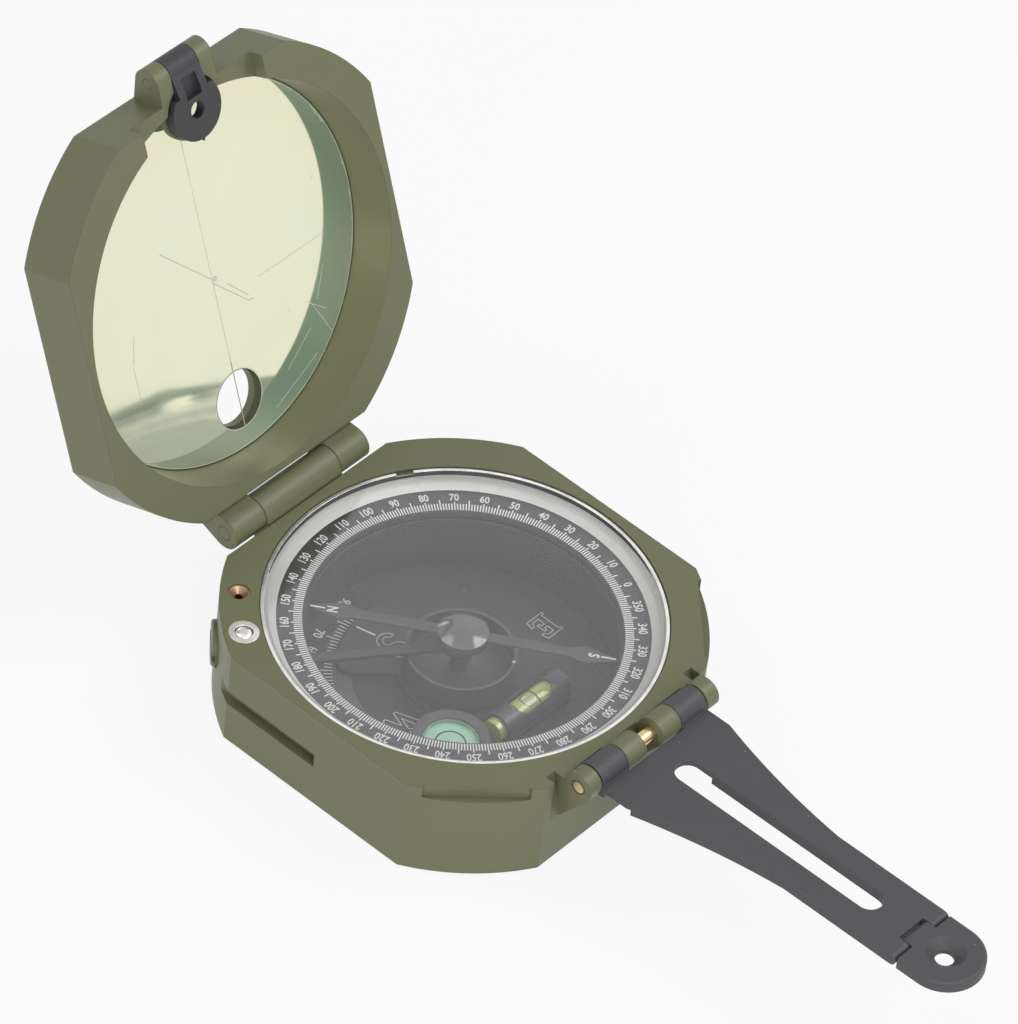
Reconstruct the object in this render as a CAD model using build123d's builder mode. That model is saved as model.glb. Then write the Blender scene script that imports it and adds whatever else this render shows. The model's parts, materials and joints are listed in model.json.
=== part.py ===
from build123d import *
import os
from math import atan2, cos, degrees, pi, radians, sin, sqrt, tan

# Folding pocket transit: a cased compass with a mirrored lid, a sight arm and two levels.
# Millimetres and degrees. The origin is the centre of the case's underside and +Z is up.
# The lid hinge lies towards +Y and the sight arm towards -Y. The lid stands open, the arm lies out.

# General fits
overrun = 1.0
running_gap = 0.05
seat_gap = 0.02
loose_gap = 0.3
knuckle_gap = 0.15

# Case
case_width = 71.0
corner_bulge = 4.9
base_height = 19.5
base_edge = 0.5
recess_depth = 1.6
recess_wall = 10.5
floor_thickness = 1.2
bezel_wall = 1.7
bezel_step = 2.2
side_slot_start = 0.0
side_slot_bottom = 8.5
side_slot_height = 2.8
side_slot_depth = 1.8
thumb_flat_depth = 1.5
thumb_flat_height = 2.2
thumb_flat_length = 17.5
thumb_flat_angles = (225, 315)

# Lid
lid_depth = 11.0
lid_gap = 0.2
lid_open_angle = 110.5
lid_edge = 0.9
lid_wall = 1.3
lid_draft = 0.8
lid_back = 1.5
mirror_thickness = 1.5
window_radius = 5.1
window_inset = 3.9
arm_relief_gap = 1.05
arm_relief_depth = 3.0

# Lid hinge
lid_hinge_offset = 3.8
lid_barrel_radius = 3.0
lid_barrel_middle = 8.9
lid_barrel_end = 16.0
lid_pin_radius = 1.3
hinge_web_top = 3.6
hinge_web_bottom = 9.6

# Sight arm and its hinge
arm_hinge_offset = 3.3
arm_rise = 0.8
arm_barrel_radius = 2.7
arm_pin_radius = 1.2
arm_middle_gap = 2.0
arm_inner_knuckle = 6.43
arm_outer_knuckle = 12.85
arm_ear_end = 15.75
arm_bracket_drop = 10.7
ear_relief_width = 2.0
ear_relief_depth = 1.9
ear_relief_height = 8.8
arm_drop = 0.25
arm_thickness = 2.2
arm_thin = 1.0
arm_thin_length = 8.5
arm_shoulder = 7.7
arm_waist = 36.0
arm_waist_half = 6.7
arm_curve_share = 0.62
arm_slot_start = 7.6
arm_slot_inset = 7.6
arm_slot_width = 4.8

# Peep leaf
arm_short = 12.8
peep_pin_radius = 0.55
peep_tongue_half = 2.85
peep_reach = 5.8
peep_hole_radius = 1.6
peep_sink_radius = 3.4
peep_sink_depth = 1.5
leaf_edge = 0.5

# Small sight on the lid
sight_axis_offset = 3.8
sight_axis_depth = 5.6
sight_barrel_radius = 2.6
sight_knuckle_half = 3.1
sight_ear_end = 6.25
sight_pin_radius = 0.9
sight_disc_inset = 3.3
sight_disc_radius = 5.3
sight_disc_depth = 2.0
sight_disc_thickness = 1.8
sight_hole_radius = 1.5
sight_nub = 0.5
sight_recess_half = 1.7
sight_recess_depth = 1.3
sight_pad_radius = 5.6
sight_pad_hole = 2.9
sight_pad_thickness = 1.0
sight_pad_gap = 0.4

# Crystal, its ring and the ring under it
ring_lip = 0.3
ring_height = 0.6
ring_width = 1.0
ring_groove = 0.3
ring_split = 3.0
ring_split_angle = 60
crystal_thickness = 1.5
crystal_edge = 0.3
retainer_height = 1.2
retainer_width = 2.9
retainer_lip = 0.4

# Dial ring and its gear
dial_play = 0.3
dial_thickness = 1.4
dial_step = 1.5
dial_width = 5.9
dial_teeth = 90
pinion_teeth = 8
gear_inset = 0.3
gear_width = 1.8
tooth_addendum = 0.5
tooth_dedendum = 0.7
dial_tooth_root_share = 0.28
dial_tooth_tip_share = 0.08
pinion_tooth_root_share = 0.24
pinion_tooth_tip_share = 0.06

# Adjuster
adjuster_angle = 135.0
adjuster_shaft_radius = 1.2
adjuster_bush_radius = 2.2
knob_radius = 3.9
knob_sink = 0.5
knob_thickness = 1.1
knob_slot_width = 1.2
knob_slot_depth = 0.6
knob_edge = 0.25

# Lift pin, lever and collar
lift_angle = 144.0
lift_inset = 5.35
lift_pin_radius = 1.5
lift_pin_proud = 0.12
lift_bush_radius = 2.55
lift_bush_height = 5.0
lift_play = 0.1
lever_thickness = 0.7
lever_half_width = 0.9
lever_pivot_inset = 2.6
lever_pin_radius = 0.45
lever_eye_radius = 1.1
lever_fork_outer = 3.1
lever_fork_inner = 1.85
lever_fork_reach = 1.0
lever_tail = 1.2
lever_clearance = 0.6
lever_ear_thickness = 1.3
lever_ear_radius = 1.3
lift_pocket_half = 1.4
lift_pocket_drop = 1.6
lift_pocket_rise = 0.9
spring_thickness = 0.25
collar_radius = 2.7
collar_height = 0.9

# Brass eyelet in the rim
eyelet_angle = 129.8
eyelet_inset = 3.2
eyelet_radius = 1.8
eyelet_height = 2.6
eyelet_recess = 0.25
eyelet_dish_radius = 1.5
eyelet_dish_depth = 1.0
eyelet_hole_radius = 0.6

# Needle
needle_angle = 122.9
needle_tip_gap = 0.7
needle_headroom = 1.6
needle_half_width = 1.0
needle_thickness = 0.35
needle_eye_radius = 3.3
needle_neck_radius = 2.15
needle_bore_radius = 1.67
needle_flag_half = 1.9
needle_flag_shares = (0.70, 0.79)
needle_tip_half = 0.2
bush_radius = 4.1
bush_skirt_height = 1.2
cap_radius = 4.3
cap_height = 1.55
cap_rim_height = 0.35
jewel_height = 0.7
jewel_cup_radius = 0.55
jewel_cup_depth = 0.4
pivot_radius = 0.9
pivot_depth = 2.0
pivot_cone = 1.4
pivot_tip_radius = 0.08
pivot_point_gap = 0.08

# Slope plate, levels and the lever below the case
clinometer_angle = 0.0
scale_plate_thickness = 0.5
pan_inset = 0.4
pan_wall = 0.5
clinometer_thickness = 0.8
clinometer_hub_radius = 9.9
fan_inset = 6.2
fan_turn = 14.0
fan_half_angle = 33.0
fan_corner = 2.5
spindle_radius = 2.0
spindle_shoulder_radius = 3.6
spindle_shoulder = 0.6
spindle_post_radius = 1.5
spindle_tang_radius = 1.6
spindle_bush_radius = 3.2
cup_radius = 9.3
cup_wall = 0.5
cup_floor_share = 0.16
level_clearance = 1.9
vial_gap = 1.6
vial_headroom = 0.1
vial_radius_share = 0.75
vial_half_length = 8.0
vial_shift = -1.0
holder_half_length = 7.6
holder_rise_share = 0.5
holder_window = 9.0
circle_level_place_shares = (-0.475, -0.367)
level_spacing = 17.0
circle_level_radius = 6.5
circle_level_headroom = 0.2
circle_level_wall = 1.7
circle_level_floor_share = 0.2
circle_level_lip_share = 0.06
bottom_lever_thickness = 0.9
bottom_lever_hub = 5.0
bottom_lever_margin = 2.8
bottom_lever_tab = 3.2
bottom_lever_waist = 2.2
screw_head_radius = 2.3
screw_head_height = 0.5
screw_radius = 0.8
screw_length = 3.0

# Heights and places that follow from the sizes above
half_width = case_width / 2
corner_radius = half_width + corner_bulge
bezel_radius = half_width - bezel_wall
well_radius = bezel_radius - bezel_step
recess_radius = half_width - recess_wall
thumb_flat = corner_radius - thumb_flat_depth
floor_top = recess_depth + floor_thickness
hinge_z = base_height + lid_gap / 2
lid_rim_z = base_height + lid_gap
lid_hinge_y = half_width + lid_hinge_offset
lid_cavity_radius = half_width - lid_wall
mirror_radius = lid_cavity_radius - lid_draft
mirror_depth = lid_depth - lid_back - mirror_thickness
window_y = mirror_radius - window_radius - window_inset
sight_axis_y = -half_width - sight_axis_offset
sight_disc_y = sight_disc_inset - half_width
sight_pad_depth = sight_disc_depth + sight_disc_thickness + sight_pad_gap
sight_notch_half = sight_knuckle_half + knuckle_gap
arm_axis_y = -half_width - arm_hinge_offset
arm_bracket_bottom = hinge_z - arm_bracket_drop
arm_relief_half = arm_outer_knuckle + arm_relief_gap
peep_axis = case_width - arm_short
peep_centre = peep_axis + peep_reach
arm_slot_end = peep_axis - arm_slot_inset
ring_top = base_height - ring_lip
ring_bottom = ring_top - ring_height
crystal_bottom = ring_bottom - crystal_thickness
retainer_bottom = crystal_bottom - retainer_height
dial_top = retainer_bottom - dial_play
dial_bottom = dial_top - dial_thickness
retainer_inner_radius = bezel_radius - retainer_width
dial_seat_radius = bezel_radius - dial_step
dial_inner_radius = dial_seat_radius - dial_width
gear_mean_radius = well_radius - gear_inset - gear_width / 2
gear_pitch = 2 * pi * gear_mean_radius / dial_teeth
pinion_pitch_radius = gear_mean_radius * pinion_teeth / dial_teeth
adjuster_z = dial_bottom - tooth_dedendum - pinion_pitch_radius
knob_seat = corner_radius - knob_sink
needle_half_length = dial_inner_radius - needle_tip_gap
cap_top = crystal_bottom - needle_headroom
cap_bottom = cap_top - cap_height
needle_bottom = cap_bottom - needle_thickness
needle_bush_bottom = needle_bottom - bush_skirt_height
collar_bottom = needle_bush_bottom - lift_play - collar_height
lever_top = collar_bottom - lift_play
lever_bottom = lever_top - lever_thickness
lever_pivot_z = (lever_bottom + lever_top) / 2
lever_pivot_radius = well_radius - lever_pivot_inset
lift_radius = well_radius + lift_inset
lift_pocket_bottom = lever_bottom - lift_pocket_drop
lift_pocket_top = lever_top + lift_pocket_rise
eyelet_radius_from_axis = corner_radius - eyelet_inset
jewel_bottom = cap_bottom + cap_rim_height
pivot_tip_z = jewel_bottom + jewel_cup_depth - pivot_point_gap
post_top = lever_bottom + loose_gap
scale_plate_top = floor_top + scale_plate_thickness
pan_radius = dial_inner_radius - pan_inset
pan_top = dial_bottom - loose_gap
clinometer_bottom = scale_plate_top + loose_gap
clinometer_top = clinometer_bottom + clinometer_thickness
cup_bottom = clinometer_top + spindle_shoulder
cup_height = lever_bottom - lever_clearance - cup_bottom
cup_floor = cup_height * cup_floor_share
level_room = lever_bottom - level_clearance - clinometer_top
holder_radius = (level_room - vial_headroom) / (1 + holder_rise_share)
vial_radius = holder_radius * vial_radius_share
circle_level_height = level_room - circle_level_headroom
circle_level_bore = circle_level_radius - circle_level_wall
circle_level_floor = circle_level_height * circle_level_floor_share
circle_level_lip = circle_level_height * circle_level_lip_share
circle_level_x, circle_level_y = (share * well_radius for share in circle_level_place_shares)
vial_x = circle_level_x + level_spacing
vial_y = -cup_radius - vial_gap - holder_radius
fan_radius = dial_inner_radius - fan_inset
bottom_lever_top = recess_depth - loose_gap
bottom_lever_bottom = bottom_lever_top - bottom_lever_thickness
bottom_lever_length = recess_radius - bottom_lever_tab - bottom_lever_margin
screw_seat = bottom_lever_bottom + screw_head_height
peep_axis_drop = arm_drop + arm_thickness / 2
peep_clear = arm_thickness / 2 + loose_gap
arm_root = arm_barrel_radius + loose_gap

# The lid's own frame: its rim plane, with z as the depth below the rim
lid_plane = Plane(
    Pos(Y=lid_hinge_y, Z=hinge_z)
    * Rot(X=-lid_open_angle)
    * Pos(Y=-lid_hinge_y, Z=lid_rim_z - hinge_z)
)
lid_hinge_depth = hinge_z - lid_rim_z

# The arm's own frame: y runs out along the arm from its hinge axis
arm_plane = Plane(
    origin=(0, arm_axis_y, hinge_z),
    x_dir=(-1, 0, 0),
    z_dir=(0, sin(radians(arm_rise)), cos(radians(arm_rise))),
)


def side_of(plane):
    """The plane seen from the side: its x is the first plane's y, its y the first plane's z."""
    return Plane(plane.origin, x_dir=plane.y_dir, z_dir=plane.x_dir)


def radial_plane(angle, height):
    """A plane across a radius of the case: its z runs outward, its y is up."""
    outward = (cos(radians(angle)), sin(radians(angle)), 0)
    sideways = (-sin(radians(angle)), cos(radians(angle)), 0)
    return Plane(origin=(0, 0, height), x_dir=sideways, z_dir=outward)


def turned_plane(angle, height):
    """A level plane whose x axis points along a radius of the case."""
    return Plane.XY.offset(height).rotated((0, 0, angle))


def bracket_face(plane, centre, radius, wall, low, high):
    """A round lug drawn down to a stretch of wall, as a flat face."""
    with BuildSketch(plane, mode=Mode.PRIVATE) as face:
        with BuildLine():
            CenterArc(centre, radius, 0, 360)
            Line((wall, low), (wall, high))
        make_hull()
    return face.sketch


lid_side = side_of(lid_plane)
arm_side = side_of(arm_plane)
case_side = side_of(Plane.XY)
adjuster_plane = radial_plane(adjuster_angle, adjuster_z)
lever_across = radial_plane(lift_angle, lever_pivot_z)
lever_side = Plane(lever_across.origin, x_dir=-lever_across.z_dir, z_dir=lever_across.x_dir)
clinometer_plane = Plane.XY.rotated((0, 0, clinometer_angle))

# Case
with BuildPart() as case_base:
    with BuildSketch():
        Rectangle(case_width, case_width)
        Circle(corner_radius, mode=Mode.INTERSECT)
    extrude(amount=base_height)
    chamfer(faces().sort_by(Axis.Z)[0].edges(), base_edge)
    # Well for the works, stepped for the dial ring, the retainer and the crystal
    with BuildSketch(Plane.XY.offset(floor_top)):
        Circle(well_radius)
    extrude(amount=base_height, mode=Mode.SUBTRACT)
    with BuildSketch(Plane.XY.offset(dial_bottom - running_gap)):
        Circle(dial_seat_radius)
    extrude(amount=base_height, mode=Mode.SUBTRACT)
    with BuildSketch(Plane.XY.offset(retainer_bottom)):
        Circle(bezel_radius)
    extrude(amount=base_height, mode=Mode.SUBTRACT)
    with BuildSketch(Plane.XY.offset(ring_bottom)):
        Circle(bezel_radius + ring_groove)
    extrude(amount=ring_height, mode=Mode.SUBTRACT)
    # Recess under the floor for the level lever, and the hole of its spindle
    with BuildSketch():
        Circle(recess_radius)
    extrude(amount=recess_depth, mode=Mode.SUBTRACT)
    with BuildSketch():
        Circle(spindle_bush_radius + seat_gap)
    extrude(amount=floor_top, mode=Mode.SUBTRACT)
    # Slots along both sides, open at the corner beside the lid hinge
    with BuildSketch(Plane.XY.offset(side_slot_bottom)):
        with Locations((half_width, side_slot_start), (-half_width, side_slot_start)):
            Rectangle(2 * side_slot_depth, case_width, align=(Align.CENTER, Align.MIN))
    extrude(amount=side_slot_height, mode=Mode.SUBTRACT)
    # Thumb flats under the rim at the corners beside the sight arm
    for angle in thumb_flat_angles:
        with BuildSketch(turned_plane(angle, base_height - thumb_flat_height)):
            with Locations((thumb_flat, 0)):
                Rectangle(case_width, thumb_flat_length, align=(Align.MIN, Align.CENTER))
        extrude(amount=thumb_flat_height, mode=Mode.SUBTRACT)
    # Middle knuckle of the lid hinge
    extrude(
        bracket_face(
            case_side.offset(-lid_barrel_middle),
            (lid_hinge_y, hinge_z),
            lid_barrel_radius,
            half_width - overrun,
            hinge_z - hinge_web_bottom,
            hinge_z - hinge_web_top,
        ),
        amount=2 * lid_barrel_middle,
    )
    # Ears and inner knuckles of the arm hinge
    for inner, outer in (
        (arm_middle_gap, arm_inner_knuckle),
        (arm_outer_knuckle + knuckle_gap, arm_ear_end),
    ):
        for start in (inner, -outer):
            extrude(
                bracket_face(
                    case_side.offset(start),
                    (arm_axis_y, hinge_z),
                    arm_barrel_radius,
                    overrun - half_width,
                    arm_bracket_bottom,
                    hinge_z - hinge_web_top,
                ),
                amount=outer - inner,
            )
            # Web that closes the groove between a knuckle and the rim
            with BuildSketch(case_side.offset(start)):
                with Locations((arm_axis_y, base_height)):
                    Rectangle(
                        arm_hinge_offset + overrun,
                        hinge_web_top,
                        align=(Align.MIN, Align.MAX),
                    )
            extrude(amount=outer - inner)
    # Sloping reliefs in the wall beside the outer ears
    for start in (arm_ear_end, -arm_ear_end - ear_relief_width):
        with BuildSketch(case_side.offset(start)):
            Polygon(
                (-half_width, base_height - ear_relief_height),
                (ear_relief_depth - half_width, base_height),
                (-half_width - overrun, base_height),
                (-half_width - overrun, base_height - ear_relief_height),
                align=None,
            )
        extrude(amount=ear_relief_width, mode=Mode.SUBTRACT)
    # Bores of both hinge pins
    with BuildSketch(case_side.offset(-case_width / 2)):
        with Locations((lid_hinge_y, hinge_z)):
            Circle(lid_pin_radius + seat_gap)
        with Locations((arm_axis_y, hinge_z)):
            Circle(arm_pin_radius + seat_gap)
    extrude(amount=case_width, mode=Mode.SUBTRACT)
    # Seat and bore of the adjuster
    with BuildSketch(adjuster_plane.offset(knob_seat)):
        Circle(knob_radius + loose_gap)
    extrude(amount=corner_radius, mode=Mode.SUBTRACT)
    with BuildSketch(adjuster_plane.offset(well_radius - overrun)):
        Circle(adjuster_bush_radius + seat_gap)
    extrude(amount=corner_radius, mode=Mode.SUBTRACT)
    # Lift pin bore, lever pocket and the ear of the lever's pivot
    with BuildSketch(turned_plane(lift_angle, base_height - lift_bush_height)):
        with Locations((lift_radius, 0)):
            Circle(lift_bush_radius + seat_gap)
    extrude(amount=lift_bush_height, mode=Mode.SUBTRACT)
    with BuildSketch(turned_plane(lift_angle, lift_pocket_bottom)):
        with Locations((lift_radius, 0)):
            Circle(lift_pin_radius + running_gap)
    extrude(amount=base_height - lift_pocket_bottom, mode=Mode.SUBTRACT)
    with BuildSketch(turned_plane(lift_angle, lift_pocket_bottom)):
        with Locations((well_radius - overrun, 0)):
            Rectangle(
                lift_radius + lever_tail + loose_gap - well_radius + overrun,
                2 * lift_pocket_half,
                align=(Align.MIN, Align.CENTER),
            )
    extrude(amount=lift_pocket_top - lift_pocket_bottom, mode=Mode.SUBTRACT)
    with BuildSketch(turned_plane(lift_angle, lever_pivot_z - lever_ear_radius)):
        with Locations((lever_pivot_radius - lever_ear_radius, lever_half_width + knuckle_gap)):
            Rectangle(
                well_radius - lever_pivot_radius + lever_ear_radius + overrun,
                lever_ear_thickness,
                align=(Align.MIN, Align.MIN),
            )
    extrude(amount=2 * lever_ear_radius)
    with BuildSketch(lever_side):
        with Locations((-lever_pivot_radius, 0)):
            Circle(lever_pin_radius + seat_gap)
    extrude(amount=lever_half_width + knuckle_gap + lever_ear_thickness, mode=Mode.SUBTRACT)
    # Seat of the eyelet in the rim
    with BuildSketch(turned_plane(eyelet_angle, base_height - eyelet_recess - eyelet_height)):
        with Locations((eyelet_radius_from_axis, 0)):
            Circle(eyelet_radius + seat_gap)
    extrude(amount=eyelet_height + eyelet_recess, mode=Mode.SUBTRACT)

with BuildPart() as lid_hinge_pin:
    with BuildSketch(case_side.offset(-lid_barrel_end)):
        with Locations((lid_hinge_y, hinge_z)):
            Circle(lid_pin_radius)
    extrude(amount=2 * lid_barrel_end)

with BuildPart() as arm_hinge_pin:
    with BuildSketch(case_side.offset(-arm_ear_end)):
        with Locations((arm_axis_y, hinge_z)):
            Circle(arm_pin_radius)
    extrude(amount=2 * arm_ear_end)

# Lid: a blank rounded along its back, then set open on the hinge and worked there
with BuildPart() as lid_blank:
    with BuildSketch():
        Rectangle(case_width, case_width)
        Circle(corner_radius, mode=Mode.INTERSECT)
    extrude(amount=lid_depth)
    fillet(faces().sort_by(Axis.Z)[-1].edges(), lid_edge)

with BuildPart() as lid_shell:
    with Locations(lid_plane):
        add(lid_blank.part)
    # Cavity, drawn in towards the mirror, and the mirror's seat
    cavity_taper = degrees(atan2(lid_cavity_radius - mirror_radius, mirror_depth))
    with BuildSketch(lid_plane):
        Circle(lid_cavity_radius)
    extrude(amount=mirror_depth, taper=cavity_taper, mode=Mode.SUBTRACT)
    with BuildSketch(lid_plane.offset(mirror_depth)):
        Circle(mirror_radius + seat_gap)
    extrude(amount=mirror_thickness, mode=Mode.SUBTRACT)
    with BuildSketch(lid_plane):
        with Locations((0, window_y)):
            Circle(window_radius)
    extrude(amount=lid_depth, mode=Mode.SUBTRACT)
    # Thin pierced tongue behind the small sight
    with BuildSketch(lid_plane.offset(sight_pad_depth)):
        with Locations((0, sight_disc_y)):
            Circle(sight_pad_radius)
        Circle(lid_cavity_radius + overrun / 2, mode=Mode.INTERSECT)
        with Locations((0, sight_disc_y)):
            Circle(sight_pad_hole, mode=Mode.SUBTRACT)
    extrude(amount=sight_pad_thickness)
    # Relief in the free wall for the folded arm, deeper between the ears of the small sight
    for half, depth in ((arm_relief_half, arm_relief_depth), (sight_notch_half, sight_pad_depth)):
        with BuildSketch(lid_plane):
            with Locations((0, -half_width - overrun)):
                Rectangle(
                    2 * half,
                    half_width + overrun - sqrt(mirror_radius**2 - half**2),
                    align=(Align.CENTER, Align.MIN),
                )
        extrude(amount=depth, mode=Mode.SUBTRACT)
    # Outer knuckles of the lid hinge
    for start in (lid_barrel_middle + knuckle_gap, -lid_barrel_end):
        extrude(
            bracket_face(
                lid_side.offset(start),
                (lid_hinge_y, lid_hinge_depth),
                lid_barrel_radius,
                half_width - overrun,
                hinge_web_top,
                hinge_web_bottom,
            ),
            amount=lid_barrel_end - lid_barrel_middle - knuckle_gap,
        )
    # Ears of the small sight
    for start in (sight_knuckle_half + knuckle_gap, -sight_ear_end):
        extrude(
            bracket_face(
                lid_side.offset(start),
                (sight_axis_y, sight_axis_depth),
                sight_barrel_radius,
                overrun - half_width,
                arm_relief_depth,
                lid_depth - lid_edge,
            ),
            amount=sight_ear_end - sight_knuckle_half - knuckle_gap,
        )
    # Room for the disc of the small sight
    with BuildSketch(lid_plane):
        with Locations((0, sight_disc_y)):
            Circle(sight_disc_radius + sight_pad_gap)
    extrude(amount=sight_pad_depth, mode=Mode.SUBTRACT)
    with BuildSketch(lid_side.offset(-case_width / 2)):
        with Locations((lid_hinge_y, lid_hinge_depth)):
            Circle(lid_pin_radius + running_gap)
    extrude(amount=case_width, mode=Mode.SUBTRACT)
    with BuildSketch(lid_side.offset(-sight_ear_end)):
        with Locations((sight_axis_y, sight_axis_depth)):
            Circle(sight_pin_radius + seat_gap)
    extrude(amount=2 * sight_ear_end, mode=Mode.SUBTRACT)

with BuildPart() as lid_mirror:
    with BuildSketch(lid_plane.offset(mirror_depth)):
        Circle(mirror_radius)
        with Locations((0, window_y)):
            Circle(window_radius, mode=Mode.SUBTRACT)
    extrude(amount=mirror_thickness)

# Small sight on the lid
with BuildPart() as lid_sight:
    with BuildSketch(lid_plane.offset(sight_disc_depth)):
        with Locations((0, sight_disc_y)):
            Circle(sight_disc_radius)
        nub_y = sight_disc_y + sight_disc_radius
        Polygon(
            (0, nub_y + sight_nub),
            (-sight_nub, nub_y - sight_nub),
            (sight_nub, nub_y - sight_nub),
            align=None,
        )
        with Locations((0, -half_width)):
            Rectangle(
                case_width,
                case_width,
                align=(Align.CENTER, Align.MIN),
                mode=Mode.INTERSECT,
            )
    extrude(amount=sight_disc_thickness)
    # Neck from the disc down to the knuckle
    sight_back_depth = sight_disc_depth + sight_disc_thickness
    neck_front_y = sight_axis_y + sight_knuckle_half + loose_gap
    with BuildSketch(lid_side.offset(-sight_knuckle_half)):
        Polygon(
            (sight_axis_y, sight_axis_depth),
            (sight_axis_y, sight_axis_depth - sight_barrel_radius),
            (neck_front_y, sight_disc_depth),
            (sight_disc_y, sight_disc_depth),
            (sight_disc_y, sight_back_depth),
            (neck_front_y, sight_back_depth),
            align=None,
        )
        with Locations((sight_axis_y, sight_axis_depth)):
            Circle(sight_barrel_radius)
    extrude(amount=2 * sight_knuckle_half)
    # Recess in the front of the neck
    with BuildSketch(lid_plane):
        with Locations((0, sight_axis_y + sight_pin_radius)):
            Rectangle(
                2 * sight_recess_half,
                sight_disc_y - sight_axis_y - sight_hole_radius - 2 * sight_pin_radius,
                align=(Align.CENTER, Align.MIN),
            )
    extrude(amount=sight_disc_depth + sight_recess_depth, mode=Mode.SUBTRACT)
    with BuildSketch(lid_plane):
        with Locations((0, sight_disc_y)):
            Circle(sight_hole_radius)
    extrude(amount=sight_pad_depth, mode=Mode.SUBTRACT)
    with BuildSketch(lid_side.offset(-sight_knuckle_half)):
        with Locations((sight_axis_y, sight_axis_depth)):
            Circle(sight_pin_radius + running_gap)
    extrude(amount=2 * sight_knuckle_half, mode=Mode.SUBTRACT)

with BuildPart() as lid_sight_pin:
    with BuildSketch(lid_side.offset(-sight_ear_end)):
        with Locations((sight_axis_y, sight_axis_depth)):
            Circle(sight_pin_radius)
    extrude(amount=2 * sight_ear_end)

# Sight arm
with BuildPart() as sight_arm:
    arm_half = arm_outer_knuckle - knuckle_gap
    curve_middle = (
        arm_waist_half + (arm_half - arm_waist_half) * (1 - arm_curve_share),
        (arm_shoulder + arm_waist) / 2,
    )
    with BuildSketch(arm_plane.offset(-arm_drop)):
        with BuildLine():
            Line((0, arm_root), (arm_half, arm_root))
            Line((arm_half, arm_root), (arm_half, arm_shoulder))
            ThreePointArc((arm_half, arm_shoulder), curve_middle, (arm_waist_half, arm_waist))
            Line((arm_waist_half, arm_waist), (arm_waist_half, peep_axis))
            Line((arm_waist_half, peep_axis), (0, peep_axis))
            mirror(about=Plane.YZ)
        make_face()
        with Locations((0, (arm_slot_start + arm_slot_end) / 2)):
            SlotOverall(
                arm_slot_end - arm_slot_start,
                arm_slot_width,
                rotation=90,
                mode=Mode.SUBTRACT,
            )
    extrude(amount=-arm_thickness)
    # Thinned underside near the hinge, with a round pocket that clears the lid's small sight
    pocket_centre = sight_disc_y - arm_axis_y
    pocket_radius = sight_disc_radius + sight_nub + overrun
    with BuildSketch(arm_plane.offset(-arm_drop - arm_thickness)):
        with Locations((0, arm_root)):
            Rectangle(case_width, arm_thin_length - arm_root, align=(Align.CENTER, Align.MIN))
        with Locations((0, pocket_centre)):
            Circle(pocket_radius)
        with Locations((0, arm_root)):
            Rectangle(
                case_width,
                case_width,
                align=(Align.CENTER, Align.MIN),
                mode=Mode.INTERSECT,
            )
    extrude(amount=arm_thickness - arm_thin, mode=Mode.SUBTRACT)
    # Knuckles
    for start in (arm_inner_knuckle + knuckle_gap, -arm_half):
        with BuildSketch(arm_side.offset(start)):
            Circle(arm_barrel_radius)
            with Locations((0, -arm_drop)):
                Rectangle(arm_root, arm_thickness, align=(Align.MIN, Align.MAX))
        extrude(amount=arm_half - arm_inner_knuckle - knuckle_gap)
    with BuildSketch(arm_side.offset(-arm_half)):
        Circle(arm_pin_radius + running_gap)
    extrude(amount=2 * arm_half, mode=Mode.SUBTRACT)
    # Fork for the leaf
    with BuildSketch(arm_side.offset(-arm_waist_half)):
        with Locations((peep_axis, -peep_axis_drop)):
            Circle(arm_thickness / 2)
    extrude(amount=2 * arm_waist_half)
    with BuildSketch(arm_plane.offset(-arm_drop - arm_thickness)):
        with Locations((0, peep_axis - peep_clear)):
            Rectangle(
                2 * (peep_tongue_half + knuckle_gap),
                2 * peep_clear,
                align=(Align.CENTER, Align.MIN),
            )
    extrude(amount=arm_thickness, mode=Mode.SUBTRACT)
    with BuildSketch(arm_side.offset(-arm_waist_half)):
        with Locations((peep_axis, -peep_axis_drop)):
            Circle(peep_pin_radius + seat_gap)
    extrude(amount=2 * arm_waist_half, mode=Mode.SUBTRACT)

with BuildPart() as peep_leaf:
    with BuildSketch(arm_plane.offset(-arm_drop)):
        with Locations((0, peep_centre)):
            Circle(arm_waist_half)
            Rectangle(2 * arm_waist_half, arm_waist_half, align=(Align.CENTER, Align.MAX))
        with Locations((0, peep_axis + peep_clear)):
            Rectangle(
                case_width,
                case_width,
                align=(Align.CENTER, Align.MIN),
                mode=Mode.INTERSECT,
            )
        with Locations((0, peep_axis)):
            Rectangle(
                2 * peep_tongue_half,
                peep_centre - peep_axis,
                align=(Align.CENTER, Align.MIN),
            )
    extrude(amount=-arm_thickness)
    leaf_rim = edges().group_by(Axis.Z)[-1].group_by(Axis.Y)[0]
    fillet(leaf_rim, leaf_edge)
    with BuildSketch(arm_side.offset(-peep_tongue_half)):
        with Locations((peep_axis, -peep_axis_drop)):
            Circle(arm_thickness / 2)
    extrude(amount=2 * peep_tongue_half)
    # Countersunk peep hole
    with Locations(arm_plane.offset(-arm_drop).location * Pos(0, peep_centre)):
        CounterSinkHole(
            peep_hole_radius,
            peep_sink_radius,
            counter_sink_angle=2 * degrees(atan2(peep_sink_radius - peep_hole_radius, peep_sink_depth)),
        )
    with BuildSketch(arm_side.offset(-peep_tongue_half)):
        with Locations((peep_axis, -peep_axis_drop)):
            Circle(peep_pin_radius + running_gap)
    extrude(amount=2 * peep_tongue_half, mode=Mode.SUBTRACT)

with BuildPart() as peep_pin:
    with BuildSketch(arm_side.offset(-arm_waist_half)):
        with Locations((peep_axis, -peep_axis_drop)):
            Circle(peep_pin_radius)
    extrude(amount=2 * arm_waist_half)

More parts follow.
